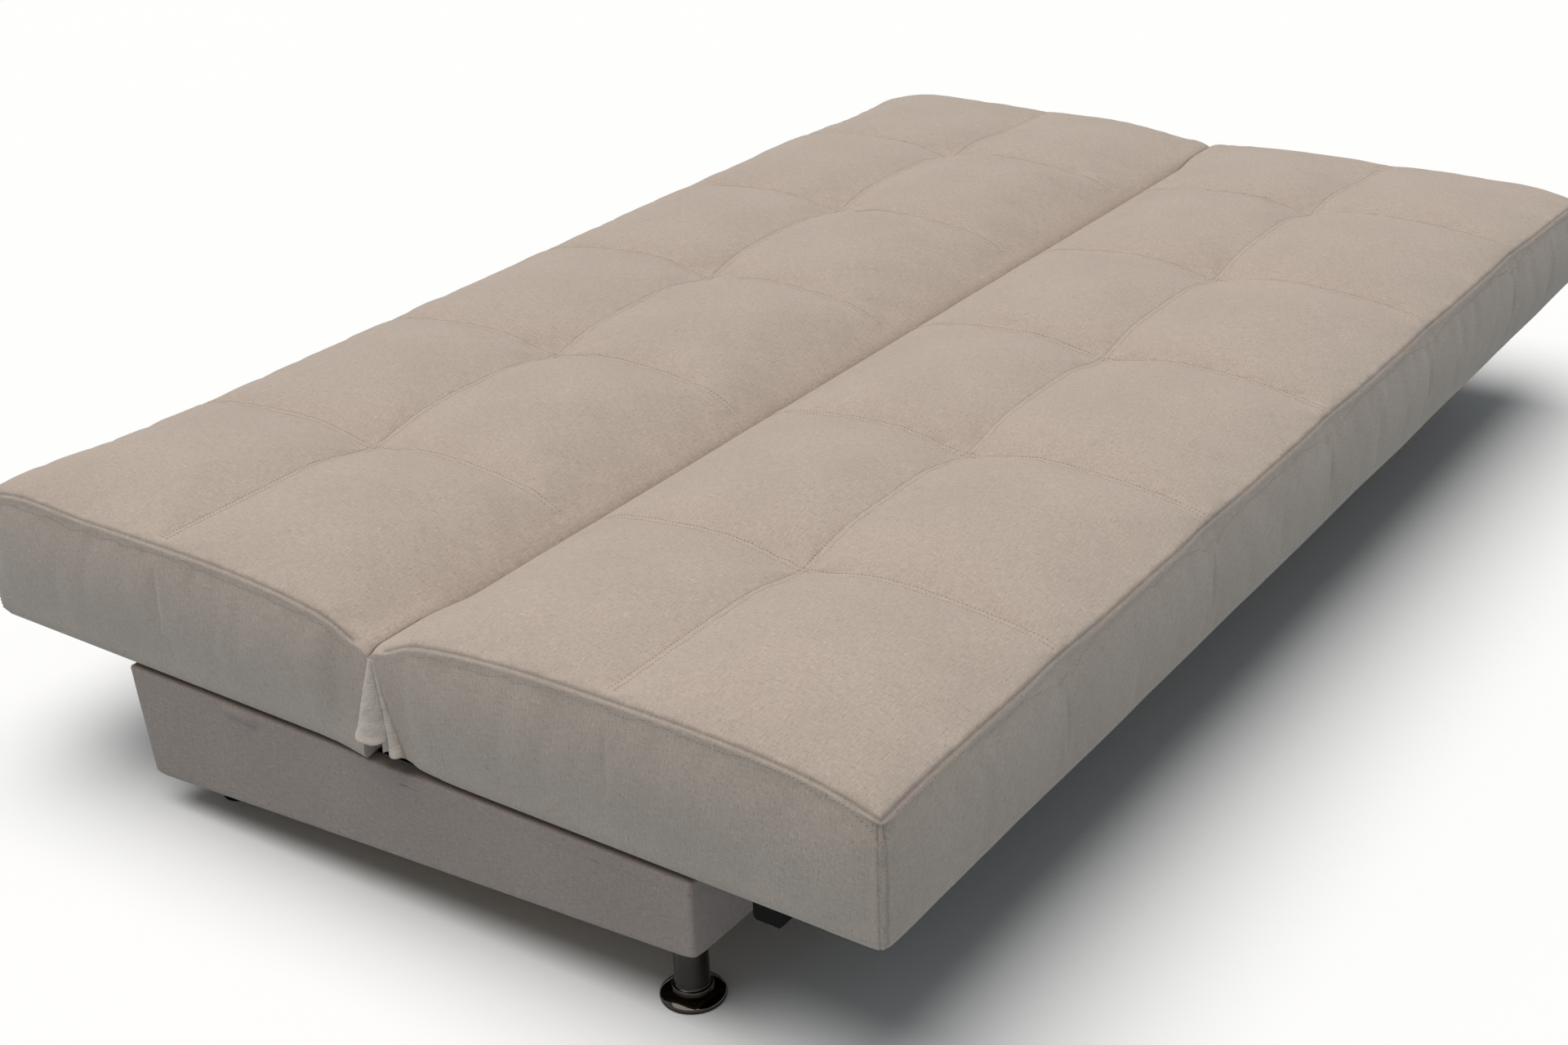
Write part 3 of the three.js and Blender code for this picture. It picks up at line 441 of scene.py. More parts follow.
# Painted reflection: the chrome's colour is darkened so that it looks as if it mirrors a dark room.
CHROME_WITH_PAINTED_REFLECTION = hard("chrome_painted_dark_reflection", rgb(68, 64, 60), rgb(54, 51, 49), 0.06, 14.0, 0.01)
POWDER_BLACK = hard("black_powder_coat", rgb(34, 34, 36), rgb(26, 26, 28), 0.48, 120.0, 0.25, 0.0, 0.35)
BLACK_PLASTIC = hard("moulded_black_plastic", rgb(13, 13, 13), rgb(20, 20, 20), 0.6, 160.0, 0.18, 0.0, 0.06)
PAD_RUBBER = hard("soft_rubber", rgb(30, 30, 31), rgb(40, 40, 41), 0.75, 200.0, 0.2, 0.0, 0.2)


# %% Sewing thread and dust cloth
def thread_finish(name, pale, dark):
    n = new_finish(name)
    ply = n.ramp(n.grain(n.object_place(), (900, 900, 900)), 0.35, 0.65)
    return n.finish({"Base Color": n.mix(ply, pale, dark), "Roughness": 0.7, "Sheen Weight": 0.2})


def felt(name, pale, dark):
    n = new_finish(name)
    flat = n.flat_place()
    fibre = n.grain(flat, (260, 260, 1), 5.0, 0.8)
    dots = n.add("ShaderNodeTexVoronoi", {"Vector": n.stretch(flat, (420, 420, 1)), "Scale": 1.0})
    press = n.math("ADD", dots.outputs["Distance"], fibre)
    colour = n.mix(n.ramp(fibre, 0.3, 0.7), dark, pale)
    return n.finish({"Base Color": colour, "Roughness": 0.95, "Normal": n.bump(press, 0.4, 0.0004)})


THREAD_FINISH = thread_finish("sewing_thread", rgb(180, 165, 151), rgb(150, 136, 123))
DUST_CLOTH = felt("black_dust_cloth", rgb(44, 44, 46), rgb(24, 24, 25))
print("finishes:", len(bpy.data.materials))

# %% [markdown]
# ## The two upholstered halves
# Each half is a foam block on a sprung frame in a sewn cover: a top panel that arches over the foam,
# four side panels, a stitched line along the middle and five rows of stitching across it. A tuft pulls
# the top down at each of the five crossings. It could be sculpted, or modelled from a box with a few
# loops. Here a grid is given rows and columns just where the sewing is, its rim is extruded down for
# the sides, and each point is then placed by the upholstery's own rules. That keeps the sewn lines
# sharp, and every point knows its place on the flat cloth.

# %% Lines of the cover
NEAR_SEAM = (0.0015, 0.002, 0.003, 0.0035, 0.005, 0.009)
NEAR_ROW = (0.0035, 0.0035, 0.006, 0.009)
NEAR_CREASE = (SEAM_GAP, 0.0020, 0.0040, 0.0070, 0.0110, 0.016, 0.022, 0.029, 0.037)
LINE_STEP = 0.0112


def ladder(steps, length):
    """Lines that stand close at both ends of a length and evenly between."""
    reach = sum(steps)
    free = length - 2 * reach
    count = max(1, round(free / LINE_STEP))
    gaps = list(steps) + [free / count] * count + list(reversed(steps))
    return np.concatenate([[0.0], np.cumsum(gaps)])


def cover_columns():
    gaps = ladder(NEAR_ROW, SECTION)
    xs = np.concatenate([-BED_HALF + i * SECTION + gaps[:-1] for i in range(SECTIONS)])
    inner = xs[np.abs(xs) < BED_HALF - 0.030]
    rim = np.concatenate([[0.0], np.cumsum(NEAR_SEAM)])
    return np.sort(np.concatenate([inner, -BED_HALF + rim, BED_HALF - rim]))


def evenly(start, stop):
    """Evenly spaced lines after the first place, up to the second."""
    steps = round((stop - start) / LINE_STEP)
    return [start + (stop - start) * (i + 1) / steps for i in range(steps)]


def cover_rows():
    row_steps = np.cumsum(NEAR_ROW)
    first = TUFT_LINE - sum(NEAR_ROW)
    to_line = [TUFT_LINE - sum(NEAR_ROW[:k]) for k in range(len(NEAR_ROW) - 1, -1, -1)]
    beyond = [TUFT_LINE + v for v in row_steps]
    edge = [HALF_DEPTH - v for v in np.cumsum(NEAR_SEAM)[::-1]] + [HALF_DEPTH]
    rising = evenly(NEAR_CREASE[-1], first)
    middle = evenly(beyond[-1], edge[0])[:-1]
    return np.array([*NEAR_CREASE, *rising, *to_line, *beyond, *middle, *edge])


COLUMNS = cover_columns()
ROWS = cover_rows()
print("cover lattice:", len(COLUMNS), "columns by", len(ROWS), "rows")

# %% [markdown]
# ### Shape of the top
# The top arches 24 mm between its edges, swells between the stitched lines, sinks along them and dips
# at each tuft. Beside the seam between the halves it rolls down into a narrow crease. The crease is
# shallow at both ends, where it covers the eye of the hinge.

# %% Height of the top
ARCH_START = 0.020
ROLL = 0.068
CREASE_DEPTH = 0.0345
CREASE_DEPTH_AT_EYE = 0.0215
CREASE_DEPTH_AT_END = 0.0285
PUFF = 0.007
CHANNEL_DEPTH = 0.0075
CHANNEL_REACH = 0.044
TUFT_DEPTH = 0.0160
TUFT_REACH = 0.060
HINGE_COVER_REACH = 0.075
SHOULDER_DROP = 0.0085
SHOULDER_REACH = 0.021
CORNER_DROP = 0.004
FAR_CORNER_DROP = 0.008
CORNER_DROP_REACH = 0.048
CREASE_LIP = 0.016
FAR_END_REACH = 0.42
FAR_END_DROP = 0.010
FAR_ARCH_LOSS = 0.92
CORNER_RISE = 0.015
CORNER_RISE_REACH = 0.17
CORNER_RISE_START = 0.40
CORNER_RISE_WIDTH = 0.18
BACK_FAR_RISE = 0.010
BACK_FAR_REACH = 0.20
BACK_FAR_START = 0.02
BACK_FAR_WIDTH = 0.15
ARCH_POWER = 3
ROLL_POWER = 1.6
ROLL_SHARPNESS = 0.5556
EYE_BLEND = 0.08
SHOULDER_POWER = 3
SHOULDER_START = 0.03


def fade_from_ends(x):
    return np.sin(np.clip((BED_HALF - np.abs(x)) / (SECTION / 2), 0, 1) * math.pi / 2)


def from_rows(x):
    """Distance from the nearest row of tufts."""
    gaps = np.abs(np.asarray(x)[..., None] - np.array(TUFT_ROWS))
    return gaps.min(axis=-1)


def top_height(x, distance):
    share = np.clip((distance - ARCH_START) / (HALF_DEPTH - ARCH_START), 0, 1)
    far = smoothstep((x - BED_HALF + FAR_END_REACH) / FAR_END_REACH)
    arch = (1 - np.abs(2 * share - 1) ** ARCH_POWER) * (1 - FAR_ARCH_LOSS * far)
    lower = FAR_END_DROP * far * smoothstep(distance / ROLL)
    across = np.sqrt(np.clip(np.sin(math.pi * share), 0, 1))
    along = fade_from_ends(x)
    near_seam = np.clip((ROLL - distance) / ROLL, 0, 0.9999)
    roll = 1 - (1 - near_seam**ROLL_POWER) ** ROLL_SHARPNESS
    from_end = BED_HALF - np.abs(x)
    inside = smoothstep((BED_HALF - HINGE_COVER_REACH - np.abs(x)) / EYE_BLEND)
    lip = smoothstep(1 - from_end / CREASE_LIP)
    depth = CREASE_DEPTH_AT_EYE + (CREASE_DEPTH - CREASE_DEPTH_AT_EYE) * inside
    crease = (depth + (CREASE_DEPTH_AT_END - CREASE_DEPTH_AT_EYE) * lip) * roll
    row = from_rows(x)
    mid = CHANNEL_DEPTH * along * np.exp(-(((distance - TUFT_LINE) / CHANNEL_REACH) ** 2))
    cross = CHANNEL_DEPTH * across * np.exp(-((row / CHANNEL_REACH) ** 2))
    away = row**2 + (distance - TUFT_LINE) ** 2
    tuft = TUFT_DEPTH * np.exp(-away / TUFT_REACH**2)
    rim = np.minimum(from_end, HALF_DEPTH - distance)
    shoulder = SHOULDER_DROP * np.clip(1 - rim / SHOULDER_REACH, 0, 1) ** SHOULDER_POWER
    corner = (from_end**2 + (HALF_DEPTH - distance) ** 2) / CORNER_DROP_REACH**2
    shoulder = shoulder + (CORNER_DROP + FAR_CORNER_DROP * far) * np.exp(-corner)
    sunk = np.maximum(mid, cross) + tuft + shoulder * smoothstep(distance / SHOULDER_START)
    return EDGE_SEAM + ARCH_RISE * arch + PUFF * across * along - crease - sunk - lower


def rear_corner_rise(x, distance, facing):
    """The back stands a little higher at its near rear corner and at its far end."""
    near = np.exp(-(((x + BED_HALF) / CORNER_RISE_REACH) ** 2))
    near = near * smoothstep((distance - CORNER_RISE_START) / CORNER_RISE_WIDTH)
    far = smoothstep((x - BED_HALF + BACK_FAR_REACH) / BACK_FAR_REACH)
    far = far * smoothstep((distance - BACK_FAR_START) / BACK_FAR_WIDTH)
    return np.where(facing > 0, CORNER_RISE * near + BACK_FAR_RISE * far, 0.0)


print("height over a pillow:", round(float(top_height(np.array(0.16), np.array(0.16))), 4))
print("height at a tuft:", round(float(top_height(np.array(0.0), np.array(TUFT_LINE))), 4))

# %% [markdown]
# ### Sides
# The side panels belly out a little over the foam, and are drawn in beside each row of tufts and at
# the bottom, where they turn under and are stapled. The corners are rounded in plan. At both ends of
# the seam between the halves a narrow notch opens downwards, which the pleated gusset closes.

# %% Sides and corners
CORNER_RADIUS = 0.011
SEAM_INSET = 0.004
FOOT_INSET = 0.0065
DRAWN_IN = 0.0035
NOTCH_TOP = {-1: 0.0075, 1: 0.0015}
NOTCH_LOW = {-1: 0.0400, 1: 0.0200}
NOTCH_REACH = 0.050
SEAT_LIFT_AT_NOTCH = 0.009
BACK_SAG_AT_NOTCH = 0.004
SIDE_SHARES = (0.985, 0.955, 0.90, 0.80, 0.66, 0.50, 0.34, 0.20, 0.10, 0.045, 0.012, 0.0)
UNDER_TURN = 0.020
POCKET_TOP = 0.2565
LEVELS = len(SIDE_SHARES) + 3
END_PULL_POWER = 40
SIDE_PULL_POWER = 24
DRAWN_IN_REACH = 0.045
LOW_CORNER = 0.05
BACK_FLARE_AT_NOTCH = 0.003
BELLY_START = 0.55
FOOT_START = 0.10
NOTCH_START = 0.018


def rounded_corner(x, distance):
    """Moves points near a corner of the plan onto a rounded corner."""
    du = BED_HALF - np.abs(x)
    dv = np.minimum(HALF_DEPTH - distance, 9.0)
    inside = (du < CORNER_RADIUS) & (dv < CORNER_RADIUS)
    u = np.where(inside, 1 - du / CORNER_RADIUS, 0)
    v = np.where(inside, 1 - dv / CORNER_RADIUS, 0)
    new_u = u * np.sqrt(1 - v * v / 2)
    new_v = v * np.sqrt(1 - u * u / 2)
    new_x = np.where(inside, np.sign(x) * (BED_HALF - CORNER_RADIUS * (1 - new_u)), x)
    new_d = np.where(inside, HALF_DEPTH - CORNER_RADIUS * (1 - new_v), distance)
    return new_x, new_d


def inset_at(share):
    """How far the side stands in at a share of its height, from 1 at the seam to 0 at the bottom."""
    belly = SEAM_INSET * np.clip((share - BELLY_START) / (1 - BELLY_START), 0, 1) ** 2
    foot = FOOT_INSET * np.clip((FOOT_START - share) / FOOT_START, 0, 1) ** 2
    return belly + foot


def notch_at(x, z, facing):
    """How far the seam side stands back near the two ends."""
    share = np.clip((HINGE_HEIGHT - z) / (HINGE_HEIGHT - UNDERSIDE), 0, 1)
    near = smoothstep(1 - (BED_HALF - np.abs(x) - NOTCH_START) / NOTCH_REACH)
    top = (NOTCH_TOP[facing] - SEAM_GAP) * smoothstep((HINGE_HEIGHT + 0.006 - z) / 0.010)
    return (top + (NOTCH_LOW[facing] - NOTCH_TOP[facing]) * share) * near


def place_cover(column, row, level, facing):
    """Place of each lattice point, and its place on the flat cloth."""
    x = COLUMNS[column]
    distance = ROWS[row]
    top = top_height(x, distance) + rear_corner_rise(x, distance, facing)
    share = np.array((1.0, *SIDE_SHARES, 0.0, 0.0))[level]
    z = UNDERSIDE + share * (top - UNDERSIDE)
    flat = np.stack([x, distance, top - z], axis=1)
    z = np.where(level == LEVELS - 1, POCKET_TOP, z)
    turned = np.where(level > len(SIDE_SHARES), UNDER_TURN, 0.0)
    inset = inset_at(share) + turned
    new_x, new_d = rounded_corner(x, distance)
    along = new_x / BED_HALF
    middle = (SEAM_GAP + HALF_DEPTH) / 2
    outward = (new_d - middle) / (HALF_DEPTH - middle)
    pull_x = np.sign(along) * np.abs(along) ** END_PULL_POWER
    pull_d = np.sign(outward) * np.clip(np.abs(outward), 0, 1) ** SIDE_PULL_POWER
    drawn = DRAWN_IN * np.exp(-((from_rows(x) / DRAWN_IN_REACH) ** 2)) * (outward > 0.9) * (share > 0.05)
    moved_x = new_x - pull_x * inset
    moved_d = new_d - pull_d * np.where(outward < 0, turned, inset + drawn)
    near_seam = 1 - np.clip((new_d - SEAM_GAP) / NOTCH_REACH, 0, 1)
    moved_d = moved_d + notch_at(x, z, facing) * near_seam
    low_corner = np.exp(-((new_d / LOW_CORNER) ** 2)) * smoothstep(1 - (z - UNDERSIDE) / LOW_CORNER)
    low_corner = low_corner * smoothstep((np.abs(x) - BED_HALF + 0.03) / 0.03) * (level <= len(SIDE_SHARES))
    z = z + (SEAT_LIFT_AT_NOTCH if facing < 0 else -BACK_SAG_AT_NOTCH) * low_corner
    moved_x = moved_x + np.sign(x) * (0.0 if facing < 0 else BACK_FLARE_AT_NOTCH) * low_corner
    return np.stack([moved_x, moved_d, z], axis=1), flat


# %% Building one cover
def lattice(name):
    """A grid with a rim that is extruded once for each level, on whole numbers."""
    piece, column, row = new_grid(name, len(COLUMNS) - 1, len(ROWS) - 1)
    set_points(piece, np.stack([column, row, column * 0], axis=1))
    edit(piece, "EDGE")
    bpy.ops.mesh.select_non_manifold()
    for _ in range(LEVELS - 1):
        bpy.ops.mesh.extrude_region_move(TRANSFORM_OT_translate={"value": (0, 0, -1)})
    face_outwards()
    return piece


def write_cover_map(piece, flat):
    """The flat map of a cover: each side panel is unfolded outwards from the top's edge."""
    mesh = piece.data
    loops = np.empty(len(mesh.loops), np.int32)
    mesh.loops.foreach_get("vertex_index", loops)
    totals = np.empty(len(mesh.polygons), np.int32)
    mesh.polygons.foreach_get("loop_total", totals)
    owner = np.repeat(np.arange(len(mesh.polygons)), totals)
    columns, rows, drops = flat[loops].T

    def spread(values):
        low = np.full(len(totals), 1e9)
        high = np.full(len(totals), -1e9)
        np.minimum.at(low, owner, values)
        np.maximum.at(high, owner, values)
        return (high - low)[owner]

    sideways = spread(drops) > 0.0004
    on_end = sideways & (spread(columns) < 1e-6)
    on_side = sideways & ~on_end
    u = columns + np.where(on_end, np.sign(columns) * drops, 0)
    v = rows + np.where(on_side, np.sign(rows - TUFT_LINE) * drops, 0)
    layer = mesh.uv_layers.new(name="flat")
    layer.data.foreach_set("uv", np.stack([u, v], axis=1).astype(np.float32).ravel())


def build_cover(name, facing):
    piece = lattice(name)
    column, row, level = np.rint(points_of(piece) * (1, 1, -1)).astype(int).T
    points, flat = place_cover(column, row, level, facing)
    write_cover_map(piece, flat)
    points[:, 1] *= facing
    set_points(piece, points)
    if facing < 0:
        piece.data.flip_normals()
    place = piece.data.attributes.new("cloth_place", "FLOAT_VECTOR", "POINT")
    place.data.foreach_set("vector", flat.astype(np.float32).ravel())
    return piece, level, row


def cloth_places(piece):
    return read_vectors(piece.data.attributes["cloth_place"].data, "vector")


# %% [markdown]
# ### Swelling the cover
# The foam presses the cover outwards between its sewn lines. Blender's cloth does this best: pressure
# from inside, no gravity, and the tufts, the seams and the stapled edge held in place. The points may
# not move further than a cap, and the result is applied before the mesh gets its fine detail.

# %% Cloth simulation
PRESSURE = 4.0
FRAMES = 20
SWELL_CAP = 0.024
LINE_HOLD = 0.72
LINE_HOLD_REACH = 0.006
TUFT_HOLD_REACH = 0.010
RIM_HOLD_REACH = 0.008
SEAM_HOLD_REACH = 0.022
CORNER_HOLD = 0.8
CORNER_HOLD_REACH = 0.016
HEM_HOLD_START = 0.110
HEM_HOLD_BLEND = 0.02
NOTCH_HOLD = (0.004, 0.05)


def held_weights(flat, level, row):
    """How firmly each point is held: wholly at tufts, seam and staples, partly along the lines."""
    x, distance, drop = flat.T
    from_end = BED_HALF - np.abs(x)
    from_edge = HALF_DEPTH - distance
    line = np.minimum(from_rows(x), np.abs(distance - TUFT_LINE))
    tuft = np.hypot(from_rows(x), distance - TUFT_LINE)
    held = np.where(level == 0, LINE_HOLD * np.exp(-((line / LINE_HOLD_REACH) ** 2)), 0.0)
    held = np.where((level == 0) & (tuft < TUFT_HOLD_REACH), 1.0, held)
    rim = np.exp(-((np.minimum(from_end, from_edge) / RIM_HOLD_REACH) ** 2))
    held = np.where(drop < RIM_HOLD_REACH, np.maximum(held, rim), held)
    held = np.where(distance < SEAM_HOLD_REACH, 1.0, held)
    hem = smoothstep((drop - HEM_HOLD_START) / HEM_HOLD_BLEND)
    held = np.where(level > 0, np.maximum(held, hem), held)
    held = np.where((row == 0) | (level > len(SIDE_SHARES) - 3), 1.0, held)
    corner = (level > 0) & (np.hypot(from_end, from_edge) < CORNER_HOLD_REACH)
    held = np.where(corner, np.maximum(held, CORNER_HOLD), held)
    notch = (level > 0) & (from_end < NOTCH_HOLD[0]) & (distance < NOTCH_HOLD[1])
    return np.where(notch, 1.0, held)


def swell(piece, level, row):
    start = points_of(piece)
    weights = held_weights(cloth_places(piece), level, row)
    group = piece.vertex_groups.new(name="held")
    for i, weight in enumerate(weights):
        if weight > 0.01:
            group.add([i], float(weight), "REPLACE")
    cloth = piece.modifiers.new("Cloth", "CLOTH")
    settings = cloth.settings
    settings.quality = 4
    settings.mass = 0.35
    settings.tension_stiffness = 12
    settings.compression_stiffness = 12
    settings.shear_stiffness = 5
    settings.bending_stiffness = 0.6
    settings.use_pressure = True
    settings.uniform_pressure_force = PRESSURE
    settings.vertex_group_mass = "held"
    settings.shrink_min = -0.012
    settings.effector_weights.gravity = 0
    cloth.collision_settings.use_collision = False
    scene = bpy.context.scene
    for frame_number in range(1, FRAMES + 1):
        scene.frame_set(frame_number)
    apply_modifier(piece, cloth)
    scene.frame_set(1)
    moved = points_of(piece) - start
    length = np.linalg.norm(moved, axis=1, keepdims=True)
    moved *= np.minimum(1, SWELL_CAP / np.maximum(length, 1e-9))
    set_points(piece, start + moved)
    piece.vertex_groups.clear()
    print(piece.name, "swelled by up to", round(float(length.max()) * 1000, 1), "mm")


# %% [markdown]
# ### Sewing relief
# What the needle does to the cloth is finer than the foam's shape: the twin stitched lines, the ridge
# of the seam allowance round the top, small puckers along every seam, folds that run out from each
# tuft, and the slight unevenness of foam. After one subdivision each point moves along its normal by
# a small amount that depends on its place on the flat cloth.

# %% Fine relief
NEEDLE_WIDTH = 0.0014
RIM_RIDGE = 0.0075
PUCKER_REACH = 0.024
FOLD_REACH = 0.032
TOP_LIMIT = 0.0003
SIDE_LIMIT = 0.142
HEM_LIMIT = 0.146
LINE_DEPTH = 0.0003
RIM_LINE_DEPTH = 0.0005
RIDGE_HEIGHT = 0.0003
PUCKER = 0.0009
TUFT_FOLD = 0.0012
CORNER_LINE_DEPTH = 0.0009
CORNER_PUCKER = 0.0026
SEAM_PUCKER = 0.0010
BROAD_WAVE = 0.0011
SMALL_WAVE = 0.0005


def ridge(offset, width):
    return np.exp(-((offset / width) ** 2))


def stretched_noise(x, y, z, scale, seed):
    return wave_noise(np.stack([x, y, z], axis=1), scale, seed)


def tuft_folds(x, distance, seed, middle):
    """Folds that run out from the nearest tuft, and the distance from it."""
    rows = np.array(TUFT_ROWS)
    nearest = rows[np.abs(x[:, None] - rows).argmin(axis=1)]
    radius = np.hypot(x - nearest, distance - TUFT_LINE)
    angle = np.arctan2(distance - TUFT_LINE, x - nearest)
    phase = nearest * 9.0 + seed
    folds = np.cos(5 * angle + phase) * 0.6 + np.cos(8 * angle - 2 * phase) * 0.4
    reach = (radius / FOLD_REACH) * np.exp(1 - radius / FOLD_REACH) * (1 + 0.5 * middle)
    return folds * reach, radius


def relief(flat, seed):
    """How far each point moves along its normal, and the painted shade in its grooves, seams and tuft dips.
    """
    x, distance, drop = flat.T
    from_end = BED_HALF - np.abs(x)
    from_edge = HALF_DEPTH - distance
    top = drop < TOP_LIMIT
    rim = np.where(distance < 0.02, 0.1, np.minimum(from_end, from_edge))
    small = wave_noise(flat, 62.0, seed)
    middle = wave_noise(flat, 19.0, seed + 1)
    broad = wave_noise(flat, 6.0, seed + 2)
    row = from_rows(x)
    mid = np.abs(distance - TUFT_LINE)
    along = fade_from_ends(x)
    across = 0.35 + 0.65 * np.sin(math.pi * np.clip((distance - ROLL) / (HALF_DEPTH - ROLL), 0, 1))
    needle_mid = ridge(mid - NEEDLE_GAP, NEEDLE_WIDTH) * (0.4 + 0.6 * along) * (from_end > 0.014)
    needle_row = ridge(row - NEEDLE_GAP, NEEDLE_WIDTH) * across * (rim > 0.012) * (distance > 0.016)
    needle_rim = ridge(rim - SEAM_BAND, NEEDLE_WIDTH)
    along_rim = ridge(rim - RIM_RIDGE, 0.003) * (0.7 + 0.6 * small)
    lines = np.maximum(np.maximum(needle_mid, needle_row), needle_rim)
    pucker_mid = stretched_noise(x * 4.2, distance * 0.9, drop, 20.0, seed + 3)
    pucker_row = stretched_noise(x * 0.9, distance * 4.2, drop, 20.0, seed + 4)
    folds, radius = tuft_folds(x, distance, seed, middle)
    on_top = RIDGE_HEIGHT * along_rim - LINE_DEPTH * lines - RIM_LINE_DEPTH * needle_rim
    on_top += PUCKER * pucker_mid * ridge(mid, PUCKER_REACH) * along
    on_top += PUCKER * pucker_row * ridge(row, PUCKER_REACH) * across + TUFT_FOLD * folds
    along_edge = np.where(from_end < from_edge, distance, x)
    edge_wave = stretched_noise(along_edge, along_edge * 0, drop * 0.2, 48.0, seed + 5)
    near_seam = np.where(top, ridge(rim - 0.007, 0.011), ridge(drop - 0.004, 0.011))
    from_corner = np.where(from_end < 1e-5, from_edge, from_end)
    side = (drop > TOP_LIMIT) & (distance > 0.05)
    stitched = ridge(from_corner - CORNER_BAND, NEEDLE_WIDTH) * (drop < SIDE_LIMIT)
    cross = stretched_noise(drop * 0 + np.sign(x), drop, drop * 0, 85.0, seed + 6)
    cross = cross * ridge(from_corner - 0.004, 0.013)
    on_side = CORNER_PUCKER * cross - CORNER_LINE_DEPTH * stitched
    move = np.where(top, on_top, 0) + np.where(side, on_side, 0)
    move += SEAM_PUCKER * edge_wave * near_seam * (distance > 0.02)
    move += BROAD_WAVE * broad + SMALL_WAVE * middle * np.where(top, 1.0, 0.7)
    quiet = np.where(drop > HEM_LIMIT, 0.0, 1.0) * np.where(distance < 0.012, 0.25, 1.0)
    # Painted shade: darkest in the seam round the rim, lighter in the needle lines and round each tuft dip.
    painted_groove_shade = np.where(top, np.maximum(0.06 * lines + 0.8 * needle_rim, 0.14 * ridge(radius, 0.012)), 0)
    painted_groove_shade = np.where(side, np.maximum(painted_groove_shade, 0.5 * stitched), painted_groove_shade)
    return move * quiet, np.clip(painted_groove_shade, 0, 1)


def finish_cover(piece, facing, seed):
    subdivide(piece)
    edit(piece, "EDGE")
    fill_rim()
    bpy.ops.mesh.poke()
    face_outwards()
    move, painted_groove_shade = relief(cloth_places(piece), seed)
    normals = read_vectors(piece.data.vertex_normals, "vector")
    set_points(piece, points_of(piece) + normals * move[:, None])
    # The painted shade is kept as a point attribute that the cover's finish reads.
    shade = piece.data.attributes.new("painted_groove_shade", "FLOAT", "POINT")
    shade.data.foreach_set("value", painted_groove_shade.astype(np.float32))
    piece.data.attributes.remove(piece.data.attributes["cloth_place"])
    piece.data.materials.append(COVER_CLOTH)
    smooth(piece)
    half = "seat" if facing < 0 else "back"
    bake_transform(piece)
    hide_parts(f"{half}_cushion")
    print(piece.name, "has", len(piece.data.polygons), "faces")


# %% Make both halves
covers = {}
for half, facing in HALVES:
    piece, level, row = build_cover(f"{half}_cover", facing)
    swell(piece, level, row)
    finish_cover(piece, facing, seed=1.0 if facing < 0 else 4.0)
    covers[half] = piece

# %% [markdown]
# ## Sewing thread
# Each stitch is a short thread that dips into the cloth at both ends. One stitch is modelled from a
# five-sided cylinder, and copies of it are laid along the sewn lines, on the finished surface: a ray
# from above or from the side finds the cloth under each stitch.

# %% One stitch
STITCH = 0.0046
THREAD_RADIUS = 0.00042
CORNER_SEAM = 0.136
UPWARDS = np.array([0.0, 0.0, 1.0])


def one_stitch():
    deselect()
    bpy.ops.mesh.primitive_cylinder_add(
        vertices=5, radius=THREAD_RADIUS, depth=STITCH * 0.74, rotation=(0, math.pi / 2, 0)
    )
    piece = take_new("one_stitch")
    settle(piece)
    edit(piece)
    for cut in (-STITCH * 0.16, STITCH * 0.16):
        bpy.ops.mesh.select_all(action="SELECT")
        bpy.ops.mesh.bisect(plane_co=(cut, 0, 0), plane_no=(1, 0, 0))
    choose(piece, "VERT", lambda co: abs(co.x) > STITCH * 0.3)
    bpy.ops.transform.translate(value=(0, 0, -THREAD_RADIUS * 1.5))
    done()
    return piece


def lay_copies(template, places, name):
    """One mesh with a copy of the template at each place: (point, direction, normal)."""
    base = points_of(template)
    faces = [tuple(f.vertices) for f in template.data.polygons]
    points = []
    all_faces = []
    for k, (point, direction, normal) in enumerate(places):
        side = np.cross(normal, direction)
        side /= np.linalg.norm(side)
        axes = np.stack([np.cross(side, normal), side, normal])
        points.append(base @ axes + point)
        all_faces.extend(tuple(i + k * len(base) for i in f) for f in faces)
    mesh = bpy.data.meshes.new(name)
    mesh.from_pydata(np.concatenate(points).tolist(), [], all_faces)
    piece = bpy.data.objects.new(name, mesh)
    bpy.context.scene.collection.objects.link(piece)
    smooth(piece)
    return piece


def sewn_lines():
    """The ends of each needle line on the top, as (place along the bed, distance from the seam)."""
    end = BED_HALF - SEAM_BAND
    outer = HALF_DEPTH - SEAM_BAND
    lines = []
    for shift in (-NEEDLE_GAP, NEEDLE_GAP):
        lines.append(((-end + 0.012, TUFT_LINE + shift), (end - 0.012, TUFT_LINE + shift)))
        for row in TUFT_ROWS:
            lines.append(((row + shift, 0.024), (row + shift, outer - 0.010)))
    lines.append(((-end, outer), (end, outer)))
    for side in (-1, 1):
        lines.append(((side * end, 0.030), (side * end, outer - 0.004)))
    return lines


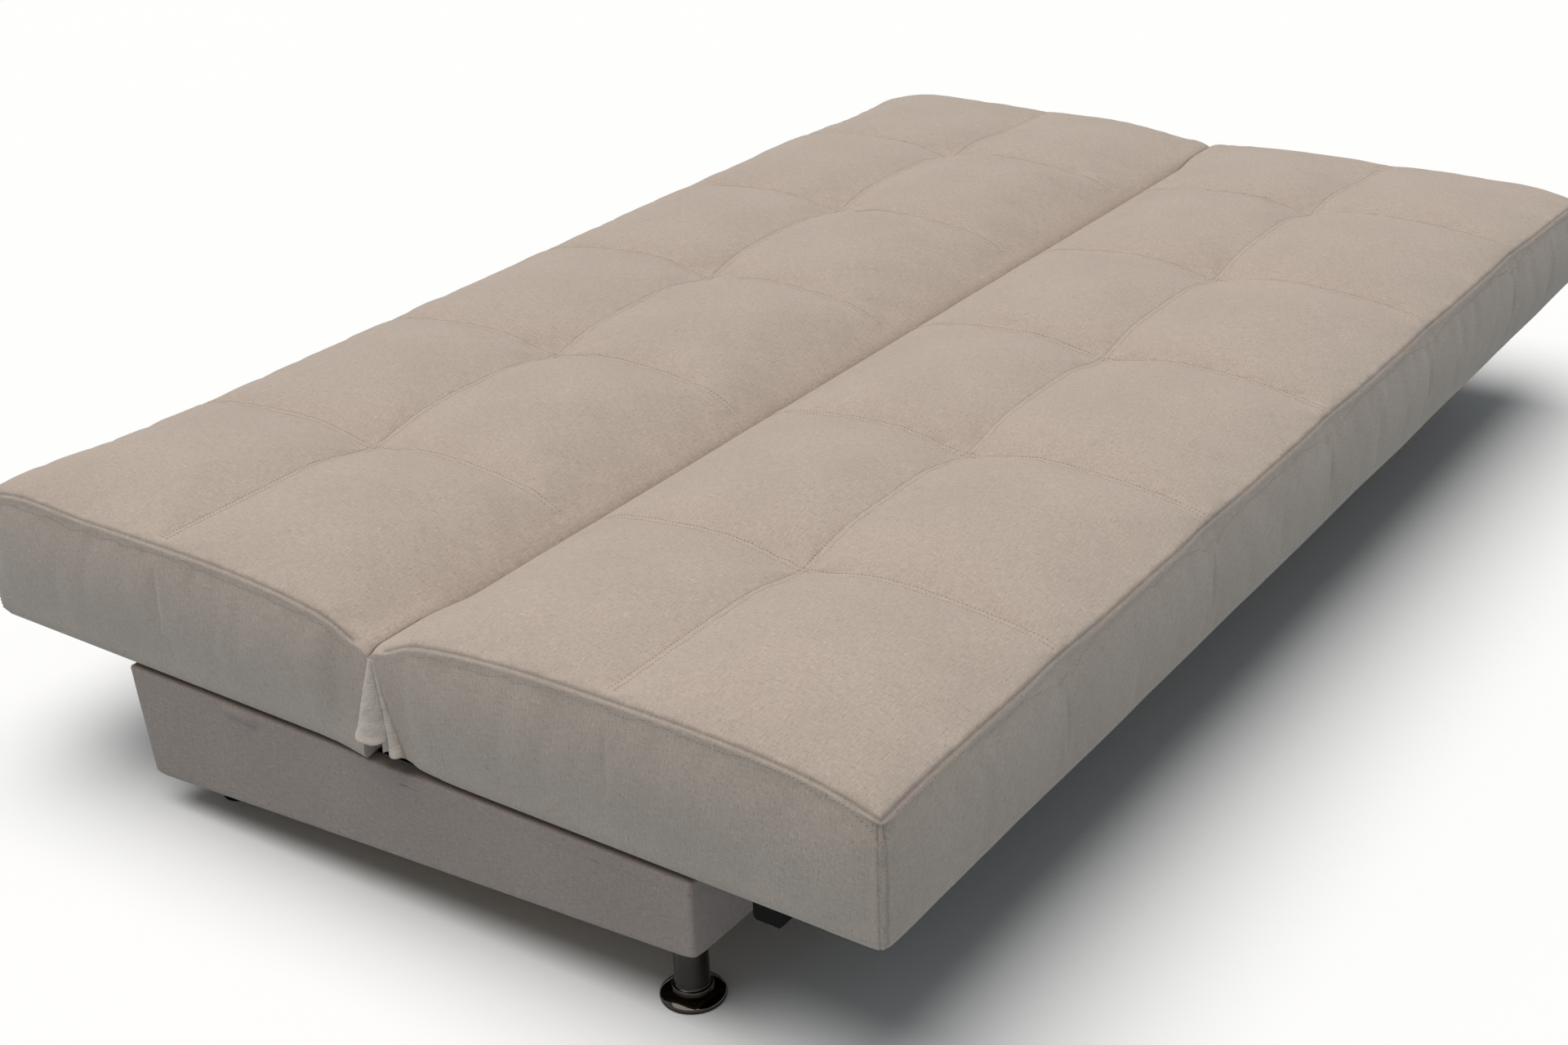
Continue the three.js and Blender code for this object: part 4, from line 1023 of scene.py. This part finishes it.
def stitch_places(piece, facing):
    mesh = piece.data
    tree = BVHTree.FromPolygons([v.co for v in mesh.vertices], [f.vertices for f in mesh.polygons])
    found = []

    def sew(origin, towards, direction):
        hit, normal, _, _ = tree.ray_cast(Vector(origin), Vector(towards))
        if hit:
            normal = np.array(normal)
            found.append((np.array(hit) + normal * THREAD_RADIUS * 0.5, direction, normal))

    for (x0, d0), (x1, d1) in sewn_lines():
        length = math.hypot(x1 - x0, d1 - d0)
        count = int(length / STITCH)
        direction = np.array([x1 - x0, (d1 - d0) * facing, 0]) / length
        for i in range(count):
            t = (i + 0.5) / count
            place = (x0 + (x1 - x0) * t, (d0 + (d1 - d0) * t) * facing, 0.6)
            sew(place, (0, 0, -1), direction)
    for side in (-1, 1):
        for i in range(int(CORNER_SEAM / STITCH)):
            z = UNDERSIDE + 0.006 + i * STITCH
            sew((side * 1.2, (HALF_DEPTH - CORNER_BAND) * facing, z), (-side, 0, 0), UPWARDS)
            sew((side * (BED_HALF - CORNER_BAND), 0.9 * facing, z), (0, -facing, 0), UPWARDS)
    return found


# %% Lay the stitches
stitch = one_stitch()
for half, facing in HALVES:
    places = stitch_places(covers[half], facing)
    threads = lay_copies(stitch, places, f"{half}_stitching")
    threads.data.materials.append(THREAD_FINISH)
    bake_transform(threads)
    print(half, "stitches:", len(places))
bpy.data.objects.remove(stitch)

# %% [markdown]
# ## Pleated gussets
# A gusset closes the notch at each end of the seam between the halves. It is one strip of cloth that is
# sewn to both halves and folded: a wide pleat that stands out like a half-open cone, and a narrow one
# beside it. Here each gusset is two sheets that meet behind the pleats, one shaped to the seat and
# the other to the back. Both start as a grid whose rows are laid along a folded path.

# %% Gusset sheets
GUSSET_TOP = 0.2985
GUSSET_THICKNESS = 0.0011
GUSSET_ACROSS = 44
GUSSET_DOWN = 28
HEM_FLARE = 0.0022
HEM_STEP = 0.006
CRUMPLE = (0.0022, 0.0014, 0.0010)
SMALL_CRUMPLE = (0.0008, -0.0006)


def fold_path(points, count):
    """Evenly spaced points along a smooth path through a few corner points."""
    points = np.array(points)
    for _ in range(3):
        cut = [points[0]]
        for a, b in zip(points[:-1], points[1:]):
            cut.extend([a * 0.75 + b * 0.25, a * 0.25 + b * 0.75])
        cut.append(points[-1])
        points = np.array(cut)
    steps = np.linalg.norm(np.diff(points, axis=0), axis=1)
    reach = np.concatenate([[0], np.cumsum(steps)])
    wanted = np.linspace(0, reach[-1], count)
    return np.stack([np.interp(wanted, reach, points[:, k]) for k in (0, 1)], axis=1), reach[-1]


# Corner points (distance from the seam, station from the bed's end) at the top and at the hem
BACK_PLEAT_TOP = (
    (0.0012, 0.019), (0.0008, 0.012), (0.0006, 0.006), (0.0006, 0.0045), (-0.0002, 0.0030),
    (-0.0020, 0.0024), (-0.0038, 0.0032), (-0.0050, 0.0050), (-0.0045, 0.0065), (-0.0030, 0.0080),
    (-0.0035, 0.0105), (-0.0045, 0.0130),
)
BACK_PLEAT_LOW = (
    (0.0185, 0.019), (0.0180, 0.008), (0.0175, 0.0015), (0.0165, -0.0030), (0.0150, -0.0120),
    (0.0020, -0.0225), (-0.0150, -0.0185), (-0.0235, -0.0060), (-0.0210, 0.0020), (-0.0080, 0.0020),
    (0.0040, 0.0065), (-0.0200, 0.0135),
)
SEAT_PLEAT_TOP = (
    (0.0060, 0.019), (0.0060, 0.012), (0.0062, 0.0075), (0.0066, 0.0055), (0.0070, 0.0035),
    (0.0060, 0.0025), (0.0045, 0.0040), (0.0042, 0.0070), (0.0040, 0.0110),
)
SEAT_PLEAT_LOW = (
    (0.0385, 0.019), (0.0380, 0.010), (0.0375, 0.0030), (0.0370, -0.0020), (0.0350, -0.0085),
    (0.0270, -0.0090), (0.0230, -0.0010), (0.0240, 0.0060), (0.0120, 0.0110),
)
# The pleat's hem stands this high behind, rises by this much in front, and changes at this station
PLEATS = {
    "seat": (SEAT_PLEAT_TOP, SEAT_PLEAT_LOW, 0.1900, 0.0100, 0.0040),
    "back": (BACK_PLEAT_TOP, BACK_PLEAT_LOW, 0.1875, 0.0270, 0.0045),
}


def build_gusset(name, half, facing):
    top, low, hem, hem_rise, front = PLEATS[half]
    piece, column, line = new_grid(name, GUSSET_ACROSS, GUSSET_DOWN)
    placed = np.zeros((GUSSET_DOWN + 1, GUSSET_ACROSS + 1, 3))
    flat = np.zeros((GUSSET_DOWN + 1, GUSSET_ACROSS + 1, 2))
    for j in range(GUSSET_DOWN + 1):
        share = j / GUSSET_DOWN
        path, length = fold_path(np.array(top) * (1 - share) + np.array(low) * share, GUSSET_ACROSS + 1)
        hem_height = hem + hem_rise * smoothstep((front - path[:, 1]) / HEM_STEP)
        placed[j, :, 0] = -(BED_HALF - path[:, 1])
        placed[j, :, 1] = path[:, 0] * facing
        placed[j, :, 2] = GUSSET_TOP + (hem_height - GUSSET_TOP) * share
        flat[j, :, 0] = np.linspace(0, length, GUSSET_ACROSS + 1)
        flat[j, :, 1] = placed[j, :, 2]
    crumple = wave_noise(placed.reshape(-1, 3), 85.0, 11.0 + facing).reshape(placed.shape[:2])
    small = wave_noise(placed.reshape(-1, 3), 210.0, 17.0 + facing).reshape(placed.shape[:2])
    shares = np.linspace(0, 1, GUSSET_DOWN + 1)[:, None]
    placed[:, :, 0] += (CRUMPLE[0] * crumple + SMALL_CRUMPLE[0] * small) * (0.3 + 0.7 * shares)
    placed[:, :, 1] += (CRUMPLE[1] * crumple + SMALL_CRUMPLE[1] * small) * shares
    placed[:, :, 2] += CRUMPLE[2] * crumple * shares
    outer = smoothstep((-BED_HALF + 0.003 - placed[:, :, 0]) / 0.004)
    placed[:, :, 0] -= HEM_FLARE * outer * smoothstep((shares - 0.90) / 0.10)
    set_points(piece, placed[line, column])
    write_flat(piece, flat[line, column])
    area = sum(f.area for f in piece.data.polygons)
    thicken(piece, GUSSET_THICKNESS)
    subdivide(piece)
    piece.data.materials.append(GUSSET_CLOTH)
    smooth(piece)
    return piece, area


# %% Lay the gussets
for side_name, side in ENDS:
    for half, facing in HALVES:
        cloth, area = build_gusset(f"gusset_{half}_{side_name}", half, facing)
        if side > 0:
            mirror(cloth)
        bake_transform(cloth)
        if half == "back":
            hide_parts(f"hinge_gusset_{side_name}")
        print(cloth.name, "flat area", round(area * 1e4, 1), "cm2")

# %% [markdown]
# ## The fabric-wrapped box
# The box is four boards on edge. Cloth is pulled round the outside and over the top edge, and ends
# inside, 26 mm down. The whole ring could be four bevelled cubes; but the cloth goes round its corners
# without a seam. So it is one grid, closed both ways like a flat doughnut: its columns run round the
# box and its rows run round the section of a board. The lower edge slopes down from the front to the
# rear, and the rear board leans.

# %% Box ring
BOX_HALF = 0.966
BOX_DEPTH_HALF = 0.386
BOX_TOP = 0.174
BOX_LOW_FRONT = 0.088
BOX_LOW_REAR = 0.041
BOX_REAR_FOOT = 0.373
BOX_LEAN = 0.013
BOARD = 0.018
RETURN = 0.026
BOX_CORNER = 0.0045
LOW_CORNER_RISE = 0.0022
LOW_CORNER_REACH = 0.009
BOX_COLUMNS = 96
CLOTH_WAVE = 0.0007
CLOTH_RIPPLE = 0.0003
DRAG_LINES = 0.0008
FOLD_AT = 0.207
FOLD_RIDGE = (0.0034, 0.1665, 0.0042)
FOLD_HOLLOW = (0.0012, 0.1575, 0.003)


def lower_edge(y):
    slope = (BOX_LOW_REAR - BOX_LOW_FRONT) / (BOX_REAR_FOOT + BOX_DEPTH_HALF)
    return BOX_LOW_FRONT + (y + BOX_DEPTH_HALF) * slope


def round_the_box():
    """Columns as (which side, share along it, angle in a corner), once round the plan."""
    columns = []
    shares = np.linspace(-1, 1, BOX_COLUMNS + 1)
    shares = np.sign(shares) * (1 - (1 - np.abs(shares)) ** 1.15)
    for corner in range(4):
        columns.extend((corner, share, 0.0) for share in shares)
        columns.extend((corner, 1.0, angle) for angle in np.linspace(0, 90, 8)[1:-1])
    return columns


def plan_point(column, inwards):
    corner, share, angle = column
    radius = max(BOX_CORNER - inwards, 0.0012)
    half = (BOX_HALF - inwards, BOX_DEPTH_HALF - inwards)
    half = half if corner % 2 == 0 else (half[1], half[0])
    turned = math.radians(angle)
    along = share * (half[0] - radius) + radius * math.sin(turned)
    out = half[1] - radius + radius * math.cos(turned)
    x, y = along, -out
    for _ in range(corner):
        x, y = -y, x
    return x, y


def board_section():
    """Rows as (inwards from the outer face, height as a share, offset in metres, is cloth)."""
    rows = [(0.0022, 0, 0.0, True), (0.0006, 0, 0.0007, True), (0, 0, 0.0024, True)]
    rows += [(0, share, 0.0, True) for share in np.linspace(0.05, 0.86, 22)]
    rows += [(0, 1, -d, True) for d in (0.0165, 0.0135, 0.011, 0.0085, 0.006, 0.004, 0.0024)]
    rows += [(0.0007, 1, -0.0007, True), (0.0024, 1, 0.0, True), (0.009, 1, 0.0004, True)]
    rows += [(BOARD - 0.0024, 1, 0.0, True), (BOARD - 0.0006, 1, -0.0007, True), (BOARD, 1, -0.0024, True)]
    rows += [(BOARD + 0.0002, 1, -RETURN * 0.5, True), (BOARD, 1, -RETURN, True)]
    rows += [(BOARD - 0.0009, 1, -RETURN - 0.0003, False)]
    rows += [(BOARD - 0.0009, share, 0.0, False) for share in (0.7, 0.45, 0.2)]
    rows += [(BOARD - 0.0009, 0, 0.0009, False), (BOARD - 0.0020, 0, 0.0, False)]
    return rows


def box_points(columns, rows):
    placed = np.zeros((len(rows) + 1, len(columns) + 1, 3))
    for i in range(len(columns) + 1):
        column = columns[i % len(columns)]
        for j in range(len(rows) + 1):
            inwards, share, offset, _ = rows[j % len(rows)]
            x, y = plan_point(column, inwards)
            low = lower_edge(y) if y < BOX_REAR_FOOT else BOX_LOW_REAR
            corner_gap = math.hypot(BOX_HALF - abs(x), BOX_DEPTH_HALF - abs(y))
            low += LOW_CORNER_RISE * math.exp(-((corner_gap / LOW_CORNER_REACH) ** 2)) * (inwards < 0.004)
            z = low + share * (BOX_TOP - low) + offset
            if y > 0:
                y -= BOX_LEAN * (BOX_TOP - z) / (BOX_TOP - BOX_LOW_REAR) * (y / BOX_DEPTH_HALF)
            placed[j, i] = (x, y, z)
    return placed


def cloth_push(x, y, z, points):
    """How far the cloth stands out: a slight wave, and the fold near the rear of each end."""
    on_end = smoothstep((np.abs(x) - BOX_HALF + 0.002) / 0.002)
    lens = ridge(y - FOLD_AT, 0.024)
    fold = 0.0
    for sign, (depth, height, reach) in ((1, FOLD_RIDGE), (-1, FOLD_HOLLOW)):
        fold = fold + sign * depth * lens * ridge(z - height, reach)
    drag = DRAG_LINES * np.sin(y * 190 + z * 240) * ridge(y - 0.2, 0.06) * ridge(z - 0.160, 0.012)
    wave = CLOTH_WAVE * wave_noise(points, 11.0, 21.0) + CLOTH_RIPPLE * wave_noise(points, 38.0, 22.0)
    return wave + (fold + drag) * on_end, on_end


def build_box():
    columns = round_the_box()
    rows = board_section()
    piece, column, line = new_grid("box_wrapped_panels", len(columns), len(rows))
    placed = box_points(columns, rows)
    across = np.linalg.norm(np.diff(placed[6], axis=0), axis=1)
    down = np.linalg.norm(np.diff(placed[:, len(columns) // 16], axis=0), axis=1)
    u = np.concatenate([[0], np.cumsum(across)])
    v = np.concatenate([[0], np.cumsum(down)])
    outside = np.array([r[0] < BOARD / 2 and r[3] for r in rows] + [True])
    points = placed[line, column]
    push, on_end = cloth_push(*points.T, points)
    push = np.where(outside[line], push, 0)
    points[:, 0] += np.where(on_end > 0, np.sign(points[:, 0]) * push, 0)
    points[:, 1] += np.where(on_end > 0, 0, np.sign(points[:, 1]) * push)
    set_points(piece, points)
    write_flat(piece, np.stack([u[column], v[line]], axis=1))
    piece.data.materials.append(BOX_CLOTH)
    piece.data.materials.append(RAW_BOARD)
    for face in piece.data.polygons:
        highest = min(line[i] for i in face.vertices)
        cloth = rows[highest % len(rows)][3] and rows[(highest + 1) % len(rows)][3]
        face.material_index = 0 if cloth else 1
    edit(piece, "VERT")
    bpy.ops.mesh.select_all(action="SELECT")
    bpy.ops.mesh.remove_doubles(threshold=0.00001)
    face_outwards()
    smooth(piece, 60)
    return piece


box_ring = build_box()
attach(box_ring, "box")
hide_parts("box_front_panel", "box_rear_panel", "box_end_panel_left", "box_end_panel_right")
print("box ring:", len(box_ring.data.polygons), "faces")

# %% [markdown]
# ## Turned feet
# A foot is a turned part, so it starts as one circle that is extruded ring by ring and scaled to the
# next radius, as on a lathe. The front feet are chromed tubes on a domed disc, with a collar below and
# a flange under the box. The rear feet are low moulded glides.

# %% Turn the feet
FRONT_FOOT = (
    (0.0318, 0.0), (0.0330, 0.0009), (0.0332, 0.0024), (0.0328, 0.0040), (0.0316, 0.0050), (0.0296, 0.0062),
    (0.0268, 0.0078), (0.0238, 0.0092), (0.0216, 0.0099), (0.0208, 0.0103), (0.0207, 0.0112),
    (0.0207, 0.0140), (0.0204, 0.0149), (0.0196, 0.0155), (0.0180, 0.0160), (0.0176, 0.0166),
    (0.0175, 0.0182), (0.0175, 0.0400), (0.0175, 0.0780), (0.0176, 0.0796), (0.0212, 0.0803),
    (0.0219, 0.0808), (0.0220, 0.0816), (0.0220, 0.0848),
)
REAR_FOOT = (
    (0.0182, 0.0), (0.0194, 0.0008), (0.0200, 0.0022), (0.0203, 0.0040), (0.0257, 0.0340),
    (0.0262, 0.0360), (0.0262, 0.0380), (0.0258, 0.0392), (0.0258, 0.0440),
)
FRONT_FOOT_PLACE = (0.918, -0.342)
REAR_FOOT_PLACE = (0.904, 0.311)


def turned_rings(name, rings, sides):
    """A circle that is extruded from ring to ring; the rings are (radius, height)."""
    deselect()
    bpy.ops.mesh.primitive_circle_add(vertices=sides, radius=rings[0][0], fill_type="NGON")
    piece = take_new(name)
    edit(piece, "FACE")
    bpy.ops.mesh.select_all(action="SELECT")
    for (radius, height), (next_radius, next_height) in zip(rings[:-1], rings[1:]):
        bpy.ops.mesh.extrude_region_move(TRANSFORM_OT_translate={"value": (0, 0, next_height - height)})
        bpy.ops.transform.resize(value=(next_radius / radius, next_radius / radius, 1))
    return piece


def turn_foot(name, rings, place, sides):
    piece = turned_rings(name, rings, sides)
    fill_rim()
    face_outwards()
    points = points_of(piece)
    top = lower_edge(place[1])
    high = points[:, 2] > top - 0.009
    tilt = lower_edge(place[1] + points[:, 1]) - top
    points[:, 2] += np.where(high, tilt - 0.0003, 0)
    points[:, :2] += place
    set_points(piece, points)
    smooth(piece, 40)
    return piece


for kind, rings, place, sides, finish, slot in (
    ("front", FRONT_FOOT, FRONT_FOOT_PLACE, 72, CHROME_WITH_PAINTED_REFLECTION, "chrome"),
    ("rear", REAR_FOOT, REAR_FOOT_PLACE, 48, BLACK_PLASTIC, "black_plastic"),
):
    foot = turn_foot(f"{kind}_foot_right_turned", rings, place, sides)
    foot.data.materials.append(finish)
    twin = mirrored_copy(foot, f"{kind}_foot_left_turned")
    for piece, end in ((foot, "right"), (twin, "left")):
        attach(piece, "box")
        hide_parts(f"{kind}_foot_{end}")
    print(kind, "feet:", len(foot.data.polygons), "faces each")

# %% [markdown]
# ## Dust cloths and staples
# A thin black felt closes each half from below. It is stretched over the frame and stapled along its
# edge, and cut out at both hinge bays. A grid with a line at each cut gives the shape once the faces
# in the two bays are deleted.

# %% Dust cloths
CLOTH_HALF = 0.9494
CLOTH_SEAM = 0.0236
CLOTH_OUTER = 0.5795
BAY_HALF = 0.9142
BAY_REACH = 0.098
CLOTH_HEIGHT = 0.1812
CLOTH_THICKNESS = 0.0008
CLOTH_SAG = 0.0022
FELT_RIPPLE = 0.0007
STAPLE_STEP = 0.060


def spaced(start, stop, step):
    return list(np.linspace(start, stop, max(1, round(abs(stop - start) / step)) + 1))


def build_dust_cloth(name, facing):
    bay = spaced(BAY_HALF, CLOTH_HALF, 0.012)
    xs = np.array([-x for x in bay[:0:-1]] + spaced(-BAY_HALF, BAY_HALF, 0.019) + bay[1:])
    ds = np.array(spaced(CLOTH_SEAM, BAY_REACH, 0.015)[:-1] + spaced(BAY_REACH, CLOTH_OUTER, 0.019))
    piece, column, line = new_grid(name, len(xs) - 1, len(ds) - 1)
    x = xs[column]
    d = ds[line]
    edge = np.minimum(np.minimum(CLOTH_HALF - np.abs(x), CLOTH_OUTER - d), d - CLOTH_SEAM)
    ripple = wave_noise(np.stack([x, d, x * 0], axis=1), 14.0, 31.0 + facing) * smoothstep(edge / 0.02)
    z = CLOTH_HEIGHT - CLOTH_SAG * smoothstep(edge / 0.12) - FELT_RIPPLE * ripple
    set_points(piece, np.stack([x, d * facing, z], axis=1))
    write_flat(piece, np.stack([x, d], axis=1))
    choose(piece, "FACE", lambda mid, normal: abs(mid.x) > BAY_HALF and abs(mid.y) < BAY_REACH)
    bpy.ops.mesh.delete(type="FACE")
    done()
    area = sum(f.area for f in piece.data.polygons)
    if facing > 0:
        piece.data.flip_normals()
    thicken(piece, CLOTH_THICKNESS)
    edit(piece, "FACE")
    face_outwards()
    piece.data.materials.append(DUST_CLOTH)
    smooth(piece, 60)
    return piece, area


def one_staple():
    deselect()
    bpy.ops.mesh.primitive_cube_add(size=1)
    piece = take_new("one_staple")
    piece.scale = (0.0104, 0.0012, 0.0006)
    settle(piece)
    edit(piece, "EDGE")
    bpy.ops.mesh.select_all(action="SELECT")
    bpy.ops.mesh.bevel(offset=0.0002, segments=1, affect="EDGES")
    done()
    return piece


# %% Staple the cloths
staple = one_staple()
for half, facing in HALVES:
    cloth, area = build_dust_cloth(f"{half}_dust_cloth", facing)
    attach(cloth, f"{half}_half")
    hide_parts(f"{half}_under_cloth")
    height = CLOTH_HEIGHT - CLOTH_THICKNESS / 2 - 0.0003
    marks = []
    for x in np.arange(-0.90, 0.901, STAPLE_STEP):
        marks.append((x, CLOTH_OUTER - 0.009, (1, 0.12, 0)))
        if abs(x) < BAY_HALF - 0.01:
            marks.append((x, CLOTH_SEAM + 0.010, (1, -0.1, 0)))
    for side in (-1, 1):
        for d in np.arange(0.125, 0.56, STAPLE_STEP):
            marks.append((side * (CLOTH_HALF - 0.009), d, (0.1, 1, 0)))
    places = [(np.array([x, d * facing, height]), np.array(run), -UPWARDS) for x, d, run in marks]
    staples = lay_copies(staple, places, f"{half}_staples")
    staples.data.materials.append(STAPLE_STEEL)
    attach(staples, f"{half}_half")
    print(half, "dust cloth:", round(area, 3), "m2,", len(places), "staples")
bpy.data.objects.remove(staple)

# %% [markdown]
# ## Screws
# Pan-head screws with a cross recess hold the arms to the end rails and the stop blocks under the
# seat; flat countersunk ones hold the base plates, where a link passes just in front. Each head starts
# as a circle that is extruded in rings, and four arms of the crown are pushed in for the recess.

# %% Screw heads
def screw_head(name, rings):
    piece = turned_rings(name, rings, 16)
    bpy.ops.mesh.poke()
    fill_rim()
    face_outwards()
    top = rings[-1][1]

    def in_cross(mid, normal):
        if normal.z < 0.9 or mid.z < top - 0.0001:
            return False
        angle = math.degrees(math.atan2(mid.y, mid.x)) % 90
        return angle < 22 or angle > 68

    choose(piece, "FACE", in_cross)
    bpy.ops.mesh.inset(thickness=0.0002)
    bpy.ops.transform.translate(value=(0, 0, -0.0007))
    done()
    return piece


PAN = ((0.0042, 0.0), (0.0042, 0.0010), (0.0038, 0.0017), (0.0029, 0.0021))
FLAT = ((0.0040, 0.0), (0.0040, 0.00015), (0.0034, 0.0003), (0.0024, 0.0003))
pan = screw_head("pan_head", PAN)
flat_head = screw_head("flat_head", FLAT)


def at_station(side, station, y, z):
    return np.array([side * (BED_HALF - station), y, z])


def across_x(angle):
    return np.array([0, math.cos(angle), math.sin(angle)])


ARM_LINE = 0.2097
ARM_SCREWS = (0.102, 0.134, 0.162)
PLATE_SCREWS = ((0.107, 0.106), (0.099, 0.129), (0.115, 0.129))
SEAT_ARM_FACE = 0.0466
BACK_ARM_FACE = 0.0512
PLATE_FACE = 0.0263
STOP_SCREW = (0.035, -0.456, 0.1442)
STOP_SCREW_TURN = 0.6
screws = {"seat_half": [], "back_half": [], "box": []}
for _, side in ENDS:
    inwards = np.array([-side, 0.0, 0.0])
    for k, y in enumerate(ARM_SCREWS):
        turned = across_x(k * 1.3 + side)
        screws["seat_half"].append((at_station(side, SEAT_ARM_FACE, -y, ARM_LINE), turned, inwards))
        screws["back_half"].append((at_station(side, BACK_ARM_FACE, y, ARM_LINE), turned, inwards))
    for k, (y, z) in enumerate(PLATE_SCREWS):
        screws["box"].append((at_station(side, PLATE_FACE, y, z), across_x(k * 1.9), inwards))
    turned = np.array([math.cos(STOP_SCREW_TURN), math.sin(STOP_SCREW_TURN), 0])
    screws["seat_half"].append((at_station(side, *STOP_SCREW), turned, -UPWARDS))
for body, places in screws.items():
    heads = lay_copies(flat_head if body == "box" else pan, places, f"{body}_screws")
    heads.data.materials.append(STAPLE_STEEL)
    smooth(heads, 35)
    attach(heads, body)
    print(body, "screws:", len(places))
bpy.data.objects.remove(pan)
bpy.data.objects.remove(flat_head)

# %% [markdown]
# ## Finishes of the frame
# Every part of the CAD frame that still shows gets the finish of its real material. The grain of the
# rails runs along each rail.

# %% Dress the CAD nodes
FRAME_FINISH = (
    (("seat_outer_rail", "seat_seam_rail", "back_outer_rail", "back_seam_rail"), SOFTWOOD_X),
    (("end_rail", "cross_rail", "corner_block", "centre_batten"), SOFTWOOD_Y),
    (("slat",), PLYWOOD),
    (("box_bottom_panel",), HARDBOARD),
    (("base_plate", "hinge_bracket", "ratchet_pawl"), ZINC),
    (("link", "arm_", "tie_tube"), POWDER_BLACK),
    (("stop_block",), BLACK_PLASTIC),
    (("rest_pad",), PAD_RUBBER),
)
for name, node in nodes.items():
    for words, finish in FRAME_FINISH:
        if any(word in name for word in words):
            node.data.materials.clear()
            node.data.materials.append(finish)
            break
print("dressed:", sum(1 for node in nodes.values() if node.data.materials))

# %% [markdown]
# ## Camera
# The camera stands where the photo was taken from: its place and angles come from the corners, seams and
# tufts that the photo shows.

# %% Camera
CAMERA_PLACE = Vector((-2.231, -1.424, 1.342))
YAW, PITCH, TILT = (math.radians(a) for a in (54.12, 26.21, -2.42))
FOCAL_LENGTH = 49.94
forward = Vector((math.sin(YAW) * math.cos(PITCH), math.cos(YAW) * math.cos(PITCH), -math.sin(PITCH)))
level_right = Vector((math.cos(YAW), -math.sin(YAW), 0))
level_up = level_right.cross(forward)
right = math.cos(TILT) * level_right + math.sin(TILT) * level_up
up = -math.sin(TILT) * level_right + math.cos(TILT) * level_up
camera_data = bpy.data.cameras.new("camera")
camera_data.sensor_width = 36
camera_data.sensor_fit = "HORIZONTAL"
camera_data.lens = FOCAL_LENGTH
camera = bpy.data.objects.new("camera", camera_data)
bpy.context.scene.collection.objects.link(camera)
turned = Matrix((right, up, -forward)).transposed().to_4x4()
camera.matrix_world = Matrix.Translation(CAMERA_PLACE) @ turned
bpy.context.scene.camera = camera
print("camera", round((CAMERA_PLACE - Vector((0, 0, 0.2))).length, 2), "m from the middle of the bed")

# %% [markdown]
# ## Light and floor
# The photo is a product shot on pure white: one broad soft light from above and a pale floor. The
# camera itself sees plain white behind the object, through the Is Camera Ray switch, and so does a
# mirror, but the light that falls on the object stays at its own plain level.

# %% Light
SKY = 0.20
SUN = 2.6
SUN_ANGLE = 60
SKY_TINT = (0.88, 0.96, 1.0, 1)
SUN_TINT = (1.0, 0.98, 0.955)
FLOOR_BOUNCE = (0.50, 0.58, 0.64, 1)
WHITE = (1.0, 1.0, 1.0, 1)


def seen_share(n):
    """One for what the camera or a mirror sees, and zero for the light that falls on the object."""
    rays = n.add("ShaderNodeLightPath").outputs
    return n.math("MAXIMUM", rays["Is Camera Ray"], rays["Is Glossy Ray"])


bpy.context.scene.view_settings.view_transform = "Standard"
sky = Nodes(bpy.data.worlds.new("studio"), "Background")
seen = seen_share(sky)
sky.finish({"Color": sky.mix(seen, SKY_TINT, WHITE), "Strength": sky.spread(seen, SKY, 1.0)})
bpy.context.scene.world = sky.owner
sun_data = bpy.data.lights.new("softbox", "SUN")
sun_data.energy = SUN
sun_data.color = SUN_TINT
sun_data.angle = math.radians(SUN_ANGLE)
sun = bpy.data.objects.new("softbox", sun_data)
sun.rotation_euler = (math.radians(-9), math.radians(-4), 0)
bpy.context.scene.collection.objects.link(sun)
print("sky", SKY, "and sun", SUN)

# %% Floor
deselect()
bpy.ops.mesh.primitive_plane_add(size=30)
floor = take_new("floor")
pale = new_finish("pale_floor")
floor_colour = pale.mix(seen_share(pale), FLOOR_BOUNCE, WHITE)
floor.data.materials.append(
    pale.finish({"Base Color": floor_colour, "Roughness": 0.9, "Specular IOR Level": 0.1})
)
